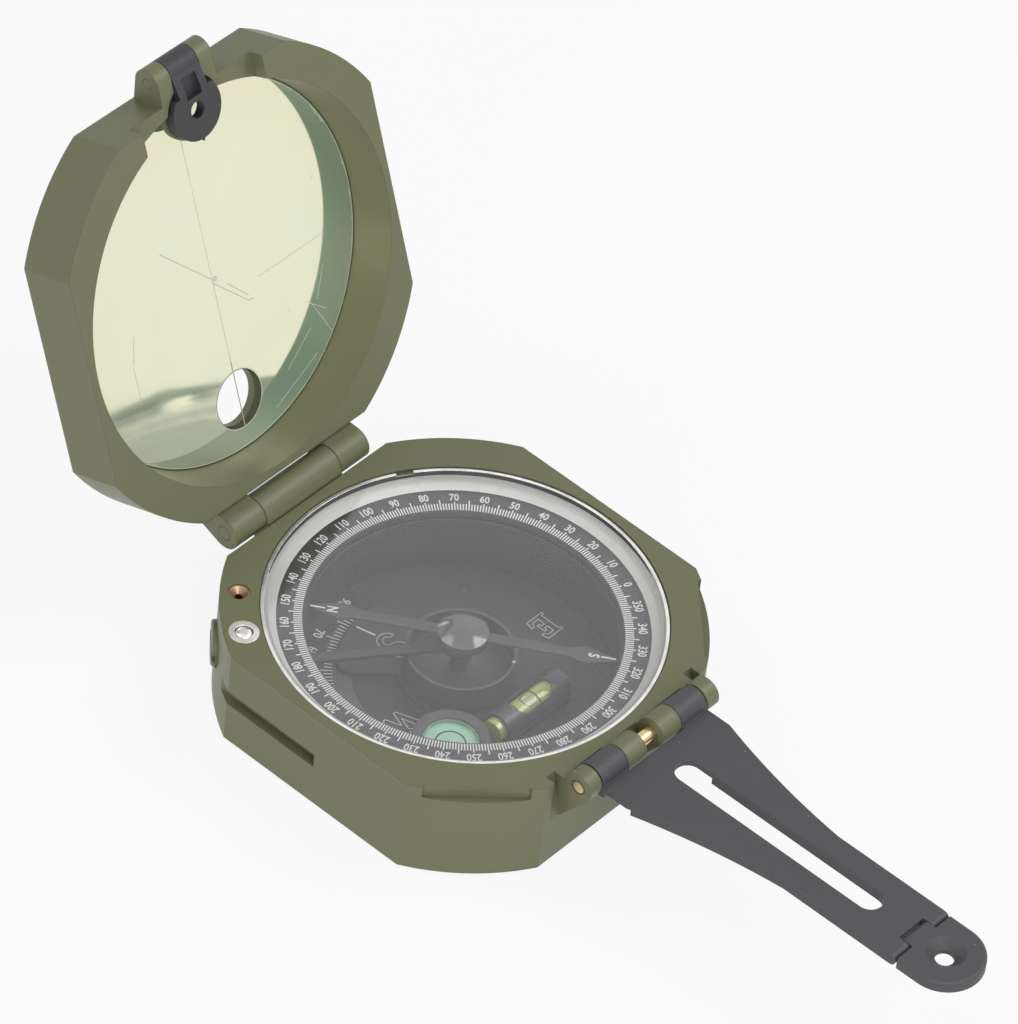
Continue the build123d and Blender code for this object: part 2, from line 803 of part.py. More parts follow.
# Crystal and the rings round it
with BuildPart() as crystal:
    with BuildSketch(Plane.XY.offset(crystal_bottom)):
        Circle(bezel_radius - running_gap)
    extrude(amount=crystal_thickness)
    chamfer(edges().group_by(Axis.Z)[-1], crystal_edge)

with BuildPart() as crystal_ring:
    ring_outer = bezel_radius + ring_groove - running_gap
    with BuildSketch(Plane.XY.offset(ring_bottom)):
        Circle(ring_outer)
        Circle(ring_outer - ring_width, mode=Mode.SUBTRACT)
    extrude(amount=ring_height)
    with BuildSketch(turned_plane(ring_split_angle, ring_bottom)):
        Rectangle(case_width, ring_split, align=(Align.MIN, Align.CENTER))
    extrude(amount=ring_height, mode=Mode.SUBTRACT)

with BuildPart() as dial_retainer:
    retainer_outer = bezel_radius - running_gap
    with BuildSketch(Plane.XZ):
        Polygon(
            (retainer_inner_radius, retainer_bottom),
            (retainer_outer, retainer_bottom),
            (retainer_outer, crystal_bottom),
            (retainer_outer - retainer_lip, crystal_bottom),
            align=None,
        )
    revolve(axis=Axis.Z)

# Dial ring with a face gear under it
with BuildPart() as dial_ring:
    with BuildSketch(Plane.XY.offset(dial_bottom)):
        Circle(dial_seat_radius - running_gap)
        Circle(dial_inner_radius, mode=Mode.SUBTRACT)
    extrude(amount=dial_thickness)
    tooth_height = tooth_addendum + tooth_dedendum
    tooth_root = gear_pitch * dial_tooth_root_share
    tooth_tip = gear_pitch * dial_tooth_tip_share
    for tooth in range(dial_teeth):
        tooth_angle = adjuster_angle + (tooth + 1 / 2) * 360 / dial_teeth
        with BuildSketch(radial_plane(tooth_angle, dial_bottom).offset(gear_mean_radius - gear_width / 2)):
            Polygon(
                (-tooth_root, 0),
                (-tooth_tip, -tooth_height),
                (tooth_tip, -tooth_height),
                (tooth_root, 0),
                align=None,
            )
    extrude(amount=gear_width)

# Adjuster: pinion on its shaft, bush and knob
with BuildPart() as adjuster_pinion:
    pinion_root = pinion_pitch_radius - tooth_dedendum
    pinion_tip = pinion_pitch_radius + tooth_addendum
    with BuildSketch(adjuster_plane.offset(gear_mean_radius - gear_width / 2)):
        Circle(pinion_root)
        with PolarLocations(0, pinion_teeth, start_angle=90):
            Polygon(
                (0, -gear_pitch * pinion_tooth_root_share),
                (pinion_root, -gear_pitch * pinion_tooth_root_share),
                (pinion_tip, -gear_pitch * pinion_tooth_tip_share),
                (pinion_tip, gear_pitch * pinion_tooth_tip_share),
                (pinion_root, gear_pitch * pinion_tooth_root_share),
                (0, gear_pitch * pinion_tooth_root_share),
                align=None,
            )
    extrude(amount=gear_width)
    with BuildSketch(adjuster_plane.offset(gear_mean_radius)):
        Circle(adjuster_shaft_radius)
    extrude(amount=knob_seat + knob_thickness - knob_slot_depth - gear_mean_radius)

with BuildPart() as adjuster_bush:
    bush_start = gear_mean_radius + gear_width / 2 + loose_gap
    with BuildSketch(adjuster_plane.offset(bush_start)):
        Circle(adjuster_bush_radius)
        Circle(adjuster_shaft_radius + running_gap, mode=Mode.SUBTRACT)
    extrude(amount=knob_seat - bush_start)

with BuildPart() as adjuster_knob:
    with BuildSketch(adjuster_plane.offset(knob_seat + knuckle_gap)):
        Circle(knob_radius)
    extrude(amount=knob_thickness)
    knob_axis = Axis(adjuster_plane.origin, adjuster_plane.z_dir)
    chamfer(faces().sort_by(knob_axis)[-1].edges(), knob_edge)
    with BuildSketch(adjuster_plane.offset(knob_seat + knuckle_gap + knob_thickness - knob_slot_depth)):
        Rectangle(2 * knob_radius, knob_slot_width)
    extrude(amount=knob_slot_depth, mode=Mode.SUBTRACT)
    with BuildSketch(adjuster_plane.offset(knob_seat)):
        Circle(adjuster_shaft_radius + seat_gap)
    extrude(amount=knob_thickness - knob_slot_depth, mode=Mode.SUBTRACT)

# Lift pin, its bush and the eyelet beside it
with BuildPart() as lift_bush:
    with BuildSketch(turned_plane(lift_angle, base_height - lift_bush_height)):
        with Locations((lift_radius, 0)):
            Circle(lift_bush_radius)
            Circle(lift_pin_radius + running_gap, mode=Mode.SUBTRACT)
    extrude(amount=lift_bush_height)

with BuildPart() as lift_pin:
    lift_pin_bottom = lever_top + lift_play
    lift_pin_top = base_height + lift_pin_proud
    with BuildSketch(turned_plane(lift_angle, lift_pin_bottom)):
        with Locations((lift_radius, 0)):
            Circle(lift_pin_radius)
    extrude(amount=lift_pin_top - lift_pin_bottom)
    fillet(edges().group_by(Axis.Z)[-1], lift_pin_radius / 2)

with BuildPart() as brass_eyelet:
    eyelet_top = base_height - eyelet_recess
    with BuildSketch(turned_plane(eyelet_angle, eyelet_top - eyelet_height)):
        with Locations((eyelet_radius_from_axis, 0)):
            Circle(eyelet_radius)
    extrude(amount=eyelet_height)
    with Locations(turned_plane(eyelet_angle, eyelet_top).location * Pos(eyelet_radius_from_axis)):
        CounterSinkHole(
            eyelet_hole_radius,
            eyelet_dish_radius,
            counter_sink_angle=2 * degrees(atan2(eyelet_dish_radius - eyelet_hole_radius, eyelet_dish_depth)),
        )

# Lift lever with its pin, spring and collar
with BuildPart() as lift_lever:
    with BuildSketch(turned_plane(lift_angle, lever_bottom)):
        Rectangle(
            lift_radius + lever_tail,
            2 * lever_half_width,
            align=(Align.MIN, Align.CENTER),
        )
        Circle(lever_fork_outer)
        with Locations((-lever_fork_reach, 0)):
            Rectangle(
                case_width,
                case_width,
                align=(Align.MIN, Align.CENTER),
                mode=Mode.INTERSECT,
            )
        Circle(lever_fork_inner, mode=Mode.SUBTRACT)
        Rectangle(
            lever_fork_outer,
            2 * lever_fork_inner,
            align=(Align.MAX, Align.CENTER),
            mode=Mode.SUBTRACT,
        )
    extrude(amount=lever_thickness)
    with BuildSketch(lever_side.offset(-lever_half_width)):
        with Locations((-lever_pivot_radius, 0)):
            Circle(lever_eye_radius)
    extrude(amount=2 * lever_half_width)
    with BuildSketch(lever_side.offset(-lever_half_width)):
        with Locations((-lever_pivot_radius, 0)):
            Circle(lever_pin_radius + running_gap)
    extrude(amount=2 * lever_half_width, mode=Mode.SUBTRACT)

with BuildPart() as lift_lever_pin:
    with BuildSketch(lever_side.offset(-lever_half_width)):
        with Locations((-lever_pivot_radius, 0)):
            Circle(lever_pin_radius)
    extrude(amount=2 * lever_half_width + knuckle_gap + lever_ear_thickness)

with BuildPart() as lift_spring:
    spring_start = well_radius + loose_gap
    spring_end = lift_radius + lever_tail - loose_gap
    spring_bend = (spring_start + spring_end) / 2
    spring_seat = lift_pocket_bottom - lever_pivot_z
    spring_rise = lift_pocket_drop - spring_thickness - lever_clearance - lift_play
    with BuildSketch(lever_side.offset(-lever_half_width)):
        with BuildLine():
            Polyline(
                (-spring_start, spring_seat),
                (-spring_bend, spring_seat),
                (-spring_end, spring_seat + spring_rise),
                (-spring_end, spring_seat + spring_rise + spring_thickness),
                (-spring_bend, spring_seat + spring_thickness),
                (-spring_start, spring_seat + spring_thickness),
                close=True,
            )
        make_face()
    extrude(amount=2 * lever_half_width)

with BuildPart() as lift_collar:
    with BuildSketch(Plane.XY.offset(collar_bottom)):
        Circle(collar_radius)
        Circle(pivot_radius + running_gap, mode=Mode.SUBTRACT)
    extrude(amount=collar_height)

# Needle with its bush, cap and jewel
with BuildPart() as needle_bar:
    flag_start, flag_middle = (share * needle_half_length for share in needle_flag_shares)
    with BuildSketch(turned_plane(needle_angle, needle_bottom)):
        with BuildLine():
            Polyline(
                (0, needle_half_width),
                (flag_start, needle_half_width),
                (flag_middle, needle_flag_half),
                (needle_half_length, needle_tip_half),
                (needle_half_length, 0),
            )
            mirror(about=Plane.XZ)
            mirror(about=Plane.YZ)
        make_face()
        Circle(needle_eye_radius)
        Circle(needle_neck_radius + seat_gap, mode=Mode.SUBTRACT)
    extrude(amount=needle_thickness)

with BuildPart() as needle_bush:
    with BuildSketch(Plane.XY.offset(needle_bush_bottom)):
        Circle(bush_radius)
    extrude(amount=bush_skirt_height)
    with BuildSketch(Plane.XY.offset(needle_bottom)):
        Circle(needle_neck_radius)
    extrude(amount=needle_thickness)
    with BuildSketch(Plane.XY.offset(needle_bush_bottom)):
        Circle(needle_bore_radius)
    extrude(amount=bush_skirt_height + needle_thickness, mode=Mode.SUBTRACT)

with BuildPart() as needle_cap:
    dome_height = cap_height - cap_rim_height
    dome_radius = (cap_radius**2 + dome_height**2) / (2 * dome_height)
    with BuildSketch(Plane.XZ):
        with BuildLine():
            Line((0, cap_bottom), (cap_radius, cap_bottom))
            Line((cap_radius, cap_bottom), (cap_radius, cap_bottom + cap_rim_height))
            ThreePointArc(
                (cap_radius, cap_bottom + cap_rim_height),
                (cap_radius / 2, cap_top - dome_radius + sqrt(dome_radius**2 - cap_radius**2 / 4)),
                (0, cap_top),
            )
            Line((0, cap_top), (0, cap_bottom))
        make_face()
    revolve(axis=Axis.Z)
    with BuildSketch(Plane.XY.offset(cap_bottom)):
        Circle(needle_bore_radius)
    extrude(amount=cap_rim_height + jewel_height, mode=Mode.SUBTRACT)

with BuildPart() as pivot_jewel:
    with BuildSketch(Plane.XZ):
        Polygon(
            (jewel_cup_radius, jewel_bottom),
            (needle_bore_radius - seat_gap, jewel_bottom),
            (needle_bore_radius - seat_gap, jewel_bottom + jewel_height),
            (0, jewel_bottom + jewel_height),
            (0, jewel_bottom + jewel_cup_depth),
            align=None,
        )
    revolve(axis=Axis.Z)

with BuildPart() as needle_pivot:
    with BuildSketch(Plane.XZ):
        Polygon(
            (0, post_top - pivot_depth),
            (pivot_radius, post_top - pivot_depth),
            (pivot_radius, pivot_tip_z - pivot_cone),
            (pivot_tip_radius, pivot_tip_z),
            (0, pivot_tip_z),
            align=None,
        )
    revolve(axis=Axis.Z)

# Floor pan and the turning works of the levels
with BuildPart() as scale_plate:
    with BuildSketch(Plane.XY.offset(floor_top)):
        Circle(pan_radius + pan_wall)
    extrude(amount=pan_top - floor_top)
    with BuildSketch(Plane.XY.offset(scale_plate_top)):
        Circle(pan_radius)
    extrude(amount=pan_top - scale_plate_top, mode=Mode.SUBTRACT)
    with BuildSketch(Plane.XY.offset(floor_top)):
        Circle(spindle_bush_radius + knuckle_gap)
    extrude(amount=scale_plate_thickness, mode=Mode.SUBTRACT)
    # Notch in the pan's wall for the lift lever
    with BuildSketch(turned_plane(lift_angle, lever_bottom - loose_gap)):
        with Locations((pan_radius - overrun, 0)):
            Rectangle(
                pan_wall + 2 * overrun,
                2 * (lever_half_width + loose_gap),
                align=(Align.MIN, Align.CENTER),
            )
    extrude(amount=pan_top - lever_bottom + loose_gap, mode=Mode.SUBTRACT)

with BuildPart() as spindle_bush:
    with BuildSketch(Plane.XY.offset(recess_depth)):
        Circle(spindle_bush_radius)
        Circle(spindle_radius + running_gap, mode=Mode.SUBTRACT)
    extrude(amount=clinometer_bottom - running_gap - recess_depth)

with BuildPart() as clinometer_spindle:
    with BuildSketch(Plane.XZ):
        Polygon(
            (0, screw_seat),
            (spindle_tang_radius, screw_seat),
            (spindle_tang_radius, bottom_lever_top),
            (spindle_radius, bottom_lever_top),
            (spindle_radius, clinometer_top),
            (spindle_shoulder_radius, clinometer_top),
            (spindle_shoulder_radius, cup_bottom),
            (spindle_radius, cup_bottom),
            (spindle_radius, cup_bottom + cup_floor),
            (spindle_post_radius, cup_bottom + cup_floor),
            (spindle_post_radius, post_top),
            (0, post_top),
            align=None,
        )
    revolve(axis=Axis.Z)
    with BuildSketch(Plane.XY.offset(post_top - pivot_depth)):
        Circle(pivot_radius + seat_gap)
    extrude(amount=pivot_depth, mode=Mode.SUBTRACT)
    with BuildSketch(Plane.XY.offset(screw_seat)):
        Circle(screw_radius + seat_gap)
    extrude(amount=screw_length, mode=Mode.SUBTRACT)

with BuildPart() as damping_cup:
    with BuildSketch(Plane.XY.offset(cup_bottom)):
        Circle(cup_radius)
    extrude(amount=cup_height)
    with BuildSketch(Plane.XY.offset(cup_bottom + cup_floor)):
        Circle(cup_radius - cup_wall)
    extrude(amount=cup_height, mode=Mode.SUBTRACT)
    with BuildSketch(Plane.XY.offset(cup_bottom)):
        Circle(spindle_radius + seat_gap)
    extrude(amount=cup_floor, mode=Mode.SUBTRACT)

with BuildPart() as clinometer_plate:
    fan_edge = fan_radius * tan(radians(fan_half_angle))
    with BuildSketch(clinometer_plane.offset(clinometer_bottom)):
        with Locations(Rotation(0, 0, fan_turn)):
            Polygon(
                (0, 0),
                (fan_edge, fan_radius),
                (-fan_edge, fan_radius),
                align=None,
            )
        Circle(fan_radius, mode=Mode.INTERSECT)
        fillet(vertices().sort_by_distance((0, 0))[-2:], fan_corner)
        Circle(clinometer_hub_radius)
        # Bed of the tube level and of the round level, tied to the hub
        with Locations((vial_x, vial_y)):
            Rectangle(2 * holder_half_length, 2 * holder_radius)
        with Locations((circle_level_x, circle_level_y)):
            Circle(circle_level_radius)
        Polygon(
            (clinometer_hub_radius, 0),
            (vial_x + holder_half_length, vial_y),
            (vial_x - holder_half_length, vial_y),
            (circle_level_x, circle_level_y - circle_level_radius),
            (circle_level_x, circle_level_y + circle_level_radius),
            (0, clinometer_hub_radius / 2),
            align=None,
        )
        Circle(spindle_radius + seat_gap, mode=Mode.SUBTRACT)
    extrude(amount=clinometer_thickness)

# Tube level: a round-backed holder with a window, and the vial in it
vial_z = clinometer_top + holder_radius * holder_rise_share
vial_plane = Plane(
    clinometer_plane.from_local_coords((vial_x, vial_y, vial_z)),
    x_dir=clinometer_plane.y_dir,
    z_dir=clinometer_plane.x_dir,
)
with BuildPart() as tube_level_holder:
    with BuildSketch(vial_plane.offset(-holder_half_length)):
        Circle(holder_radius)
        with Locations((0, clinometer_top - vial_z)):
            Rectangle(2 * holder_radius, vial_z - clinometer_top, align=(Align.CENTER, Align.MIN))
            Rectangle(
                2 * holder_radius,
                case_width,
                align=(Align.CENTER, Align.MIN),
                mode=Mode.INTERSECT,
            )
    extrude(amount=2 * holder_half_length)
    with BuildSketch(vial_plane.offset(-holder_half_length)):
        Circle(vial_radius + seat_gap)
        with Locations((0, clinometer_top - vial_z)):
            Rectangle(
                2 * holder_radius,
                case_width,
                align=(Align.CENTER, Align.MIN),
                mode=Mode.INTERSECT,
            )
    extrude(amount=2 * holder_half_length, mode=Mode.SUBTRACT)
    with BuildSketch(clinometer_plane.offset(vial_z)):
        with Locations((vial_x, vial_y)):
            SlotOverall(holder_window, 2 * vial_radius)
    extrude(amount=holder_radius, mode=Mode.SUBTRACT)

with BuildPart() as tube_level_vial:
    with BuildSketch(vial_plane.offset(vial_shift - vial_half_length)):
        Circle(vial_radius)
        with Locations((0, clinometer_top - vial_z)):
            Rectangle(
                2 * holder_radius,
                case_width,
                align=(Align.CENTER, Align.MIN),
                mode=Mode.INTERSECT,
            )
    extrude(amount=2 * vial_half_length)

# Round level
with BuildPart() as circular_level_housing:
    with BuildSketch(clinometer_plane.offset(clinometer_top)):
        with Locations((circle_level_x, circle_level_y)):
            Circle(circle_level_radius)
    extrude(amount=circle_level_height)
    with BuildSketch(clinometer_plane.offset(clinometer_top + circle_level_floor)):
        with Locations((circle_level_x, circle_level_y)):
            Circle(circle_level_bore)
    extrude(amount=circle_level_height, mode=Mode.SUBTRACT)

with BuildPart() as circular_level_glass:
    with BuildSketch(clinometer_plane.offset(clinometer_top + circle_level_floor)):
        with Locations((circle_level_x, circle_level_y)):
            Circle(circle_level_bore - seat_gap)
    extrude(amount=circle_level_height - circle_level_floor - circle_level_lip)

# Lever under the case
with BuildPart() as clinometer_lever:
    with BuildSketch(clinometer_plane.offset(bottom_lever_bottom)):
        with BuildLine():
            CenterArc((0, 0), bottom_lever_hub, 0, 360)
            Line((-bottom_lever_waist, -bottom_lever_length), (bottom_lever_waist, -bottom_lever_length))
        make_hull()
        with Locations((0, -bottom_lever_length)):
            Circle(bottom_lever_tab)
    extrude(amount=bottom_lever_thickness)
    with BuildSketch(Plane.XY.offset(bottom_lever_bottom)):
        Circle(screw_head_radius + knuckle_gap)
    extrude(amount=screw_head_height, mode=Mode.SUBTRACT)
    with BuildSketch(Plane.XY.offset(screw_seat)):
        Circle(spindle_tang_radius + seat_gap)
    extrude(amount=bottom_lever_thickness, mode=Mode.SUBTRACT)

with BuildPart() as lever_screw:
    with BuildSketch(Plane.XY.offset(bottom_lever_bottom)):
        Circle(screw_head_radius)
    extrude(amount=screw_head_height)
    with BuildSketch(Plane.XY.offset(screw_seat)):
        Circle(screw_radius)
    extrude(amount=screw_length - loose_gap)
    with BuildSketch(Plane.XY.offset(bottom_lever_bottom)):
        Rectangle(2 * screw_head_radius, screw_radius)
    extrude(amount=screw_head_height / 2, mode=Mode.SUBTRACT)

# One file for each piece
os.makedirs("parts", exist_ok=True)
pieces = {
    "case_base": case_base,
    "lid_hinge_pin": lid_hinge_pin,
    "arm_hinge_pin": arm_hinge_pin,
    "lid_shell": lid_shell,
    "mirror": lid_mirror,
    "lid_sight": lid_sight,
    "lid_sight_pin": lid_sight_pin,
    "sight_arm": sight_arm,
    "peep_leaf": peep_leaf,
    "peep_pin": peep_pin,
    "crystal": crystal,
    "crystal_ring": crystal_ring,
    "dial_retainer": dial_retainer,
    "dial_ring": dial_ring,
    "adjuster_pinion": adjuster_pinion,
    "adjuster_bush": adjuster_bush,
    "adjuster_knob": adjuster_knob,
    "lift_bush": lift_bush,
    "lift_pin": lift_pin,
    "brass_eyelet": brass_eyelet,
    "lift_lever": lift_lever,
    "lift_lever_pin": lift_lever_pin,
    "lift_spring": lift_spring,
    "lift_collar": lift_collar,
    "needle_bar": needle_bar,
    "needle_bush": needle_bush,
    "needle_cap": needle_cap,
    "pivot_jewel": pivot_jewel,
    "needle_pivot": needle_pivot,
    "scale_plate": scale_plate,
    "spindle_bush": spindle_bush,
    "clinometer_spindle": clinometer_spindle,
    "damping_cup": damping_cup,
    "clinometer_plate": clinometer_plate,
    "tube_level_holder": tube_level_holder,
    "tube_level_vial": tube_level_vial,
    "circular_level_housing": circular_level_housing,
    "circular_level_glass": circular_level_glass,
    "clinometer_lever": clinometer_lever,
    "lever_screw": lever_screw,
}
for name, piece in pieces.items():
    piece.part.label = name
    export_step(piece.part, f"parts/{name}.step")
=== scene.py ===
import json
from math import atan2, cos, pi, radians, sin

import bmesh
import bpy
from bpy.props import FloatProperty, FloatVectorProperty, IntProperty, PointerProperty
from mathutils import Euler, Matrix, Vector


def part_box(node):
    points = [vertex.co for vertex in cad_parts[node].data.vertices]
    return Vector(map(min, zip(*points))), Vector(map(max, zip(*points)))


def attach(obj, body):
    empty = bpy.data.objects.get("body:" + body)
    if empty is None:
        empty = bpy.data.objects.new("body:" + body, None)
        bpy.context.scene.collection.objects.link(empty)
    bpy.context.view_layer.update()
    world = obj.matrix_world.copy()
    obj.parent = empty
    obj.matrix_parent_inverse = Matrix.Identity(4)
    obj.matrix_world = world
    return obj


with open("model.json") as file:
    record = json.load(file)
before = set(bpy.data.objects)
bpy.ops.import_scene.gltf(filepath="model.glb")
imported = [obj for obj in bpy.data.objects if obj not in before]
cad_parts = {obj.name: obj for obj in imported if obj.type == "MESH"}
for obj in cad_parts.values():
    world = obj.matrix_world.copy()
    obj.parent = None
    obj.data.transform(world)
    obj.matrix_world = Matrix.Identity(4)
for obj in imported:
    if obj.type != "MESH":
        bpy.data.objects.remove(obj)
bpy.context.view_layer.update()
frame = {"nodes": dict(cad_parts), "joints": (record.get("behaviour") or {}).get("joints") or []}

bl_info = {
    "name": "Navigation compass dress",
    "version": (1, 0, 0),
    "blender": (4, 5, 0),
    "location": "3D View > Sidebar > Compass",
    "description": "Finishes, printed marks, levels and studio for a folding pocket transit",
    "category": "Object",
}

MM = 0.001

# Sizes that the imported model's boxes don't show
SCALE_PLATE_THICK = 0.5 * MM
CUP_LIP_MIDDLE = 0.3 * MM
RING_WIDTH = 1.0 * MM
RIM_LIP = 0.25 * MM
LID_GAP = 0.1 * MM
WINDOW_Y = 24.4 * MM
WINDOW_RADIUS = 5.1 * MM

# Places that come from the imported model
JOINTS = {joint["name"]: joint for joint in frame["joints"]}
LID_AXIS = Vector(JOINTS["lid_hinge"]["pos_m"])
LID_TURN = radians(JOINTS["lid_hinge"]["range_deg"][0])
DIAL_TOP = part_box("dial_ring")[1].z
PLATE_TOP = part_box("scale_plate")[0].z + SCALE_PLATE_THICK
FAN_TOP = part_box("clinometer_plate")[1].z
NEEDLE_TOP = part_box("needle_bar")[1].z
VIAL_LOW, VIAL_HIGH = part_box("tube_level_vial")
VIAL_RADIUS = (VIAL_HIGH.y - VIAL_LOW.y) / 2
VIAL_CENTRE = Vector((
    (VIAL_LOW.x + VIAL_HIGH.x) / 2, (VIAL_LOW.y + VIAL_HIGH.y) / 2, VIAL_HIGH.z - VIAL_RADIUS,
))
ROUND_LOW, ROUND_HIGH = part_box("circular_level_glass")
ROUND_CENTRE = (ROUND_LOW + ROUND_HIGH) / 2
CUP_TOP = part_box("damping_cup")[1].z
CUP_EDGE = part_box("damping_cup")[1].x - CUP_LIP_MIDDLE
CRYSTAL_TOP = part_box("crystal")[1].z
RING_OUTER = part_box("crystal_ring")[1].x
RING_INNER = RING_OUTER - RING_WIDTH
RING_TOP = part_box("crystal_ring")[1].z
RIM_BORE = RING_OUTER - RIM_LIP
PIN_LOW, PIN_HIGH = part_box("arm_hinge_pin")
PIN_RADIUS = (PIN_HIGH.y - PIN_LOW.y) / 2
MIRROR_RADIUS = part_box("mirror")[1].x

# The lid's own frame: x as the case, y from the small sight to the hinge, z from the rim to the back
LID_FRAME = Matrix.Translation(LID_AXIS) @ Matrix.Rotation(LID_TURN, 4, "X") @ Matrix.Translation(
    Vector((0, -LID_AXIS.y, LID_GAP))
)
TO_LID = LID_FRAME.inverted()
MIRROR_FACE = min((TO_LID @ v.co).z for v in frame["nodes"]["mirror"].data.vertices)


class PaintSettings(bpy.types.PropertyGroup):
    """Colours of the finishes."""

    olive: FloatVectorProperty(
        name="Olive paint", description="Paint of the case and the lid",
        subtype="COLOR", default=(0.136, 0.142, 0.073), min=0, max=1,
    )
    olive_worn: FloatVectorProperty(
        name="Worn edge", description="Paint where an edge is rubbed",
        subtype="COLOR", default=(0.30, 0.30, 0.21), min=0, max=1,
    )
    arm_black: FloatVectorProperty(
        name="Arm black", description="Finish of the arm and the sights",
        subtype="COLOR", default=(0.055, 0.055, 0.062), min=0, max=1,
    )
    mirror_tint: FloatVectorProperty(
        name="Mirror tint", description="Colour of the mirror's silvering",
        subtype="COLOR", default=(0.93, 0.85, 0.60), min=0, max=1,
    )
    mirror_veil: FloatVectorProperty(
        name="Mirror veil", description="Colour of the haze over the mirror",
        subtype="COLOR", default=(0.10, 0.66, 0.70), min=0, max=1,
    )
    dial_black: FloatVectorProperty(
        name="Dial black", description="Ground of the dial and the floor",
        subtype="COLOR", default=(0.037, 0.037, 0.044), min=0, max=1,
    )
    works_black: FloatVectorProperty(
        name="Works black", description="Finish of the needle, the cup and the levels' plate",
        subtype="COLOR", default=(0.064, 0.064, 0.072), min=0, max=1,
    )
    print_white: FloatVectorProperty(
        name="Print white", description="Printed ticks, numbers and letters",
        subtype="COLOR", default=(0.80, 0.80, 0.79), min=0, max=1,
    )
    vial_green: FloatVectorProperty(
        name="Vial liquid", description="Liquid of the tube level",
        subtype="COLOR", default=(0.45, 0.52, 0.13), min=0, max=1,
    )
    round_green: FloatVectorProperty(
        name="Round level liquid", description="Liquid of the round level",
        subtype="COLOR", default=(0.40, 0.72, 0.54), min=0, max=1,
    )


class MarkSettings(bpy.types.PropertyGroup):
    """Sizes of the printed marks."""

    tick_inner: FloatProperty(
        name="Tick start", description="Radius where the dial's ticks start",
        unit="LENGTH", default=26.6 * MM, min=0,
    )
    tick_length: FloatProperty(
        name="Tick length", description="Length of a one degree tick",
        unit="LENGTH", default=1.45 * MM, min=0,
    )
    tick_ten: FloatProperty(
        name="Ten tick length", description="Length of a tick under a number",
        unit="LENGTH", default=1.85 * MM, min=0,
    )
    tick_five: FloatProperty(
        name="Five tick length", description="Length of a tick between two numbers",
        unit="LENGTH", default=2.3 * MM, min=0,
    )
    tick_width: FloatProperty(
        name="Tick width", description="Width of a printed tick",
        unit="LENGTH", default=0.23 * MM, min=0,
    )
    print_thickness: FloatProperty(
        name="Print thickness", description="How far printed marks stand proud",
        unit="LENGTH", default=0.02 * MM, min=0,
    )
    number_radius: FloatProperty(
        name="Number radius", description="Radius of the middle of the dial's numbers",
        unit="LENGTH", default=29.55 * MM, min=0,
    )
    number_size: FloatProperty(
        name="Number size", description="Type size of the dial's numbers",
        unit="LENGTH", default=2.15 * MM, min=0,
    )
    dial_zero: FloatProperty(
        name="Dial zero", description="Direction of the dial's zero from +X",
        subtype="ANGLE", default=radians(-24.5),
    )
    degrees: IntProperty(name="Degrees", description="Ticks round the dial", default=360, min=4)
    seal_width: FloatProperty(
        name="Seal width", description="Width of the pale seal inside the crystal's ring",
        unit="LENGTH", default=0.68 * MM, min=0,
    )
    letter_height: FloatProperty(
        name="Letter height", description="Height of the outlined letters on the floor",
        unit="LENGTH", default=4.8 * MM, min=0,
    )
    slope_radius: FloatProperty(
        name="Slope scale radius", description="Radius where the slope scale's ticks start",
        unit="LENGTH", default=20.7 * MM, min=0,
    )
    slope_zero: FloatProperty(
        name="Slope zero", description="Direction of the slope scale's zero from +X",
        subtype="ANGLE", default=radians(183.0),
    )


class StageSettings(bpy.types.PropertyGroup):
    """Camera, lamps and floor."""

    camera_place: FloatVectorProperty(
        name="Camera place", description="Where the camera stands",
        subtype="TRANSLATION", unit="LENGTH", default=(-0.730583, -0.554142, 0.957295),
    )
    camera_turn: FloatVectorProperty(
        name="Camera turn", description="How the camera is turned",
        subtype="EULER", default=(radians(44.8707), radians(-5.1749), radians(-47.9520)),
    )
    camera_lens: FloatProperty(
        name="Camera lens", description="Focal length on a 36 mm sensor", default=281.936, min=1,
    )
    sky_light: FloatProperty(
        name="Sky light", description="Strength of the even light from all round", default=0.30, min=0,
    )
    floor_shadow: FloatProperty(
        name="Floor shadow", description="How much of the object's shadow the floor keeps",
        subtype="FACTOR", default=0.12, min=0, max=1,
    )


def plug(value, socket):
    """Links a flow to a socket, or sets the socket to a plain value."""
    if isinstance(value, Flow):
        value.tree.links.new(value.socket, socket)
    else:
        socket.default_value = value


# The kind of node that works on vectors
VECTORS = "ShaderNodeVectorMath"


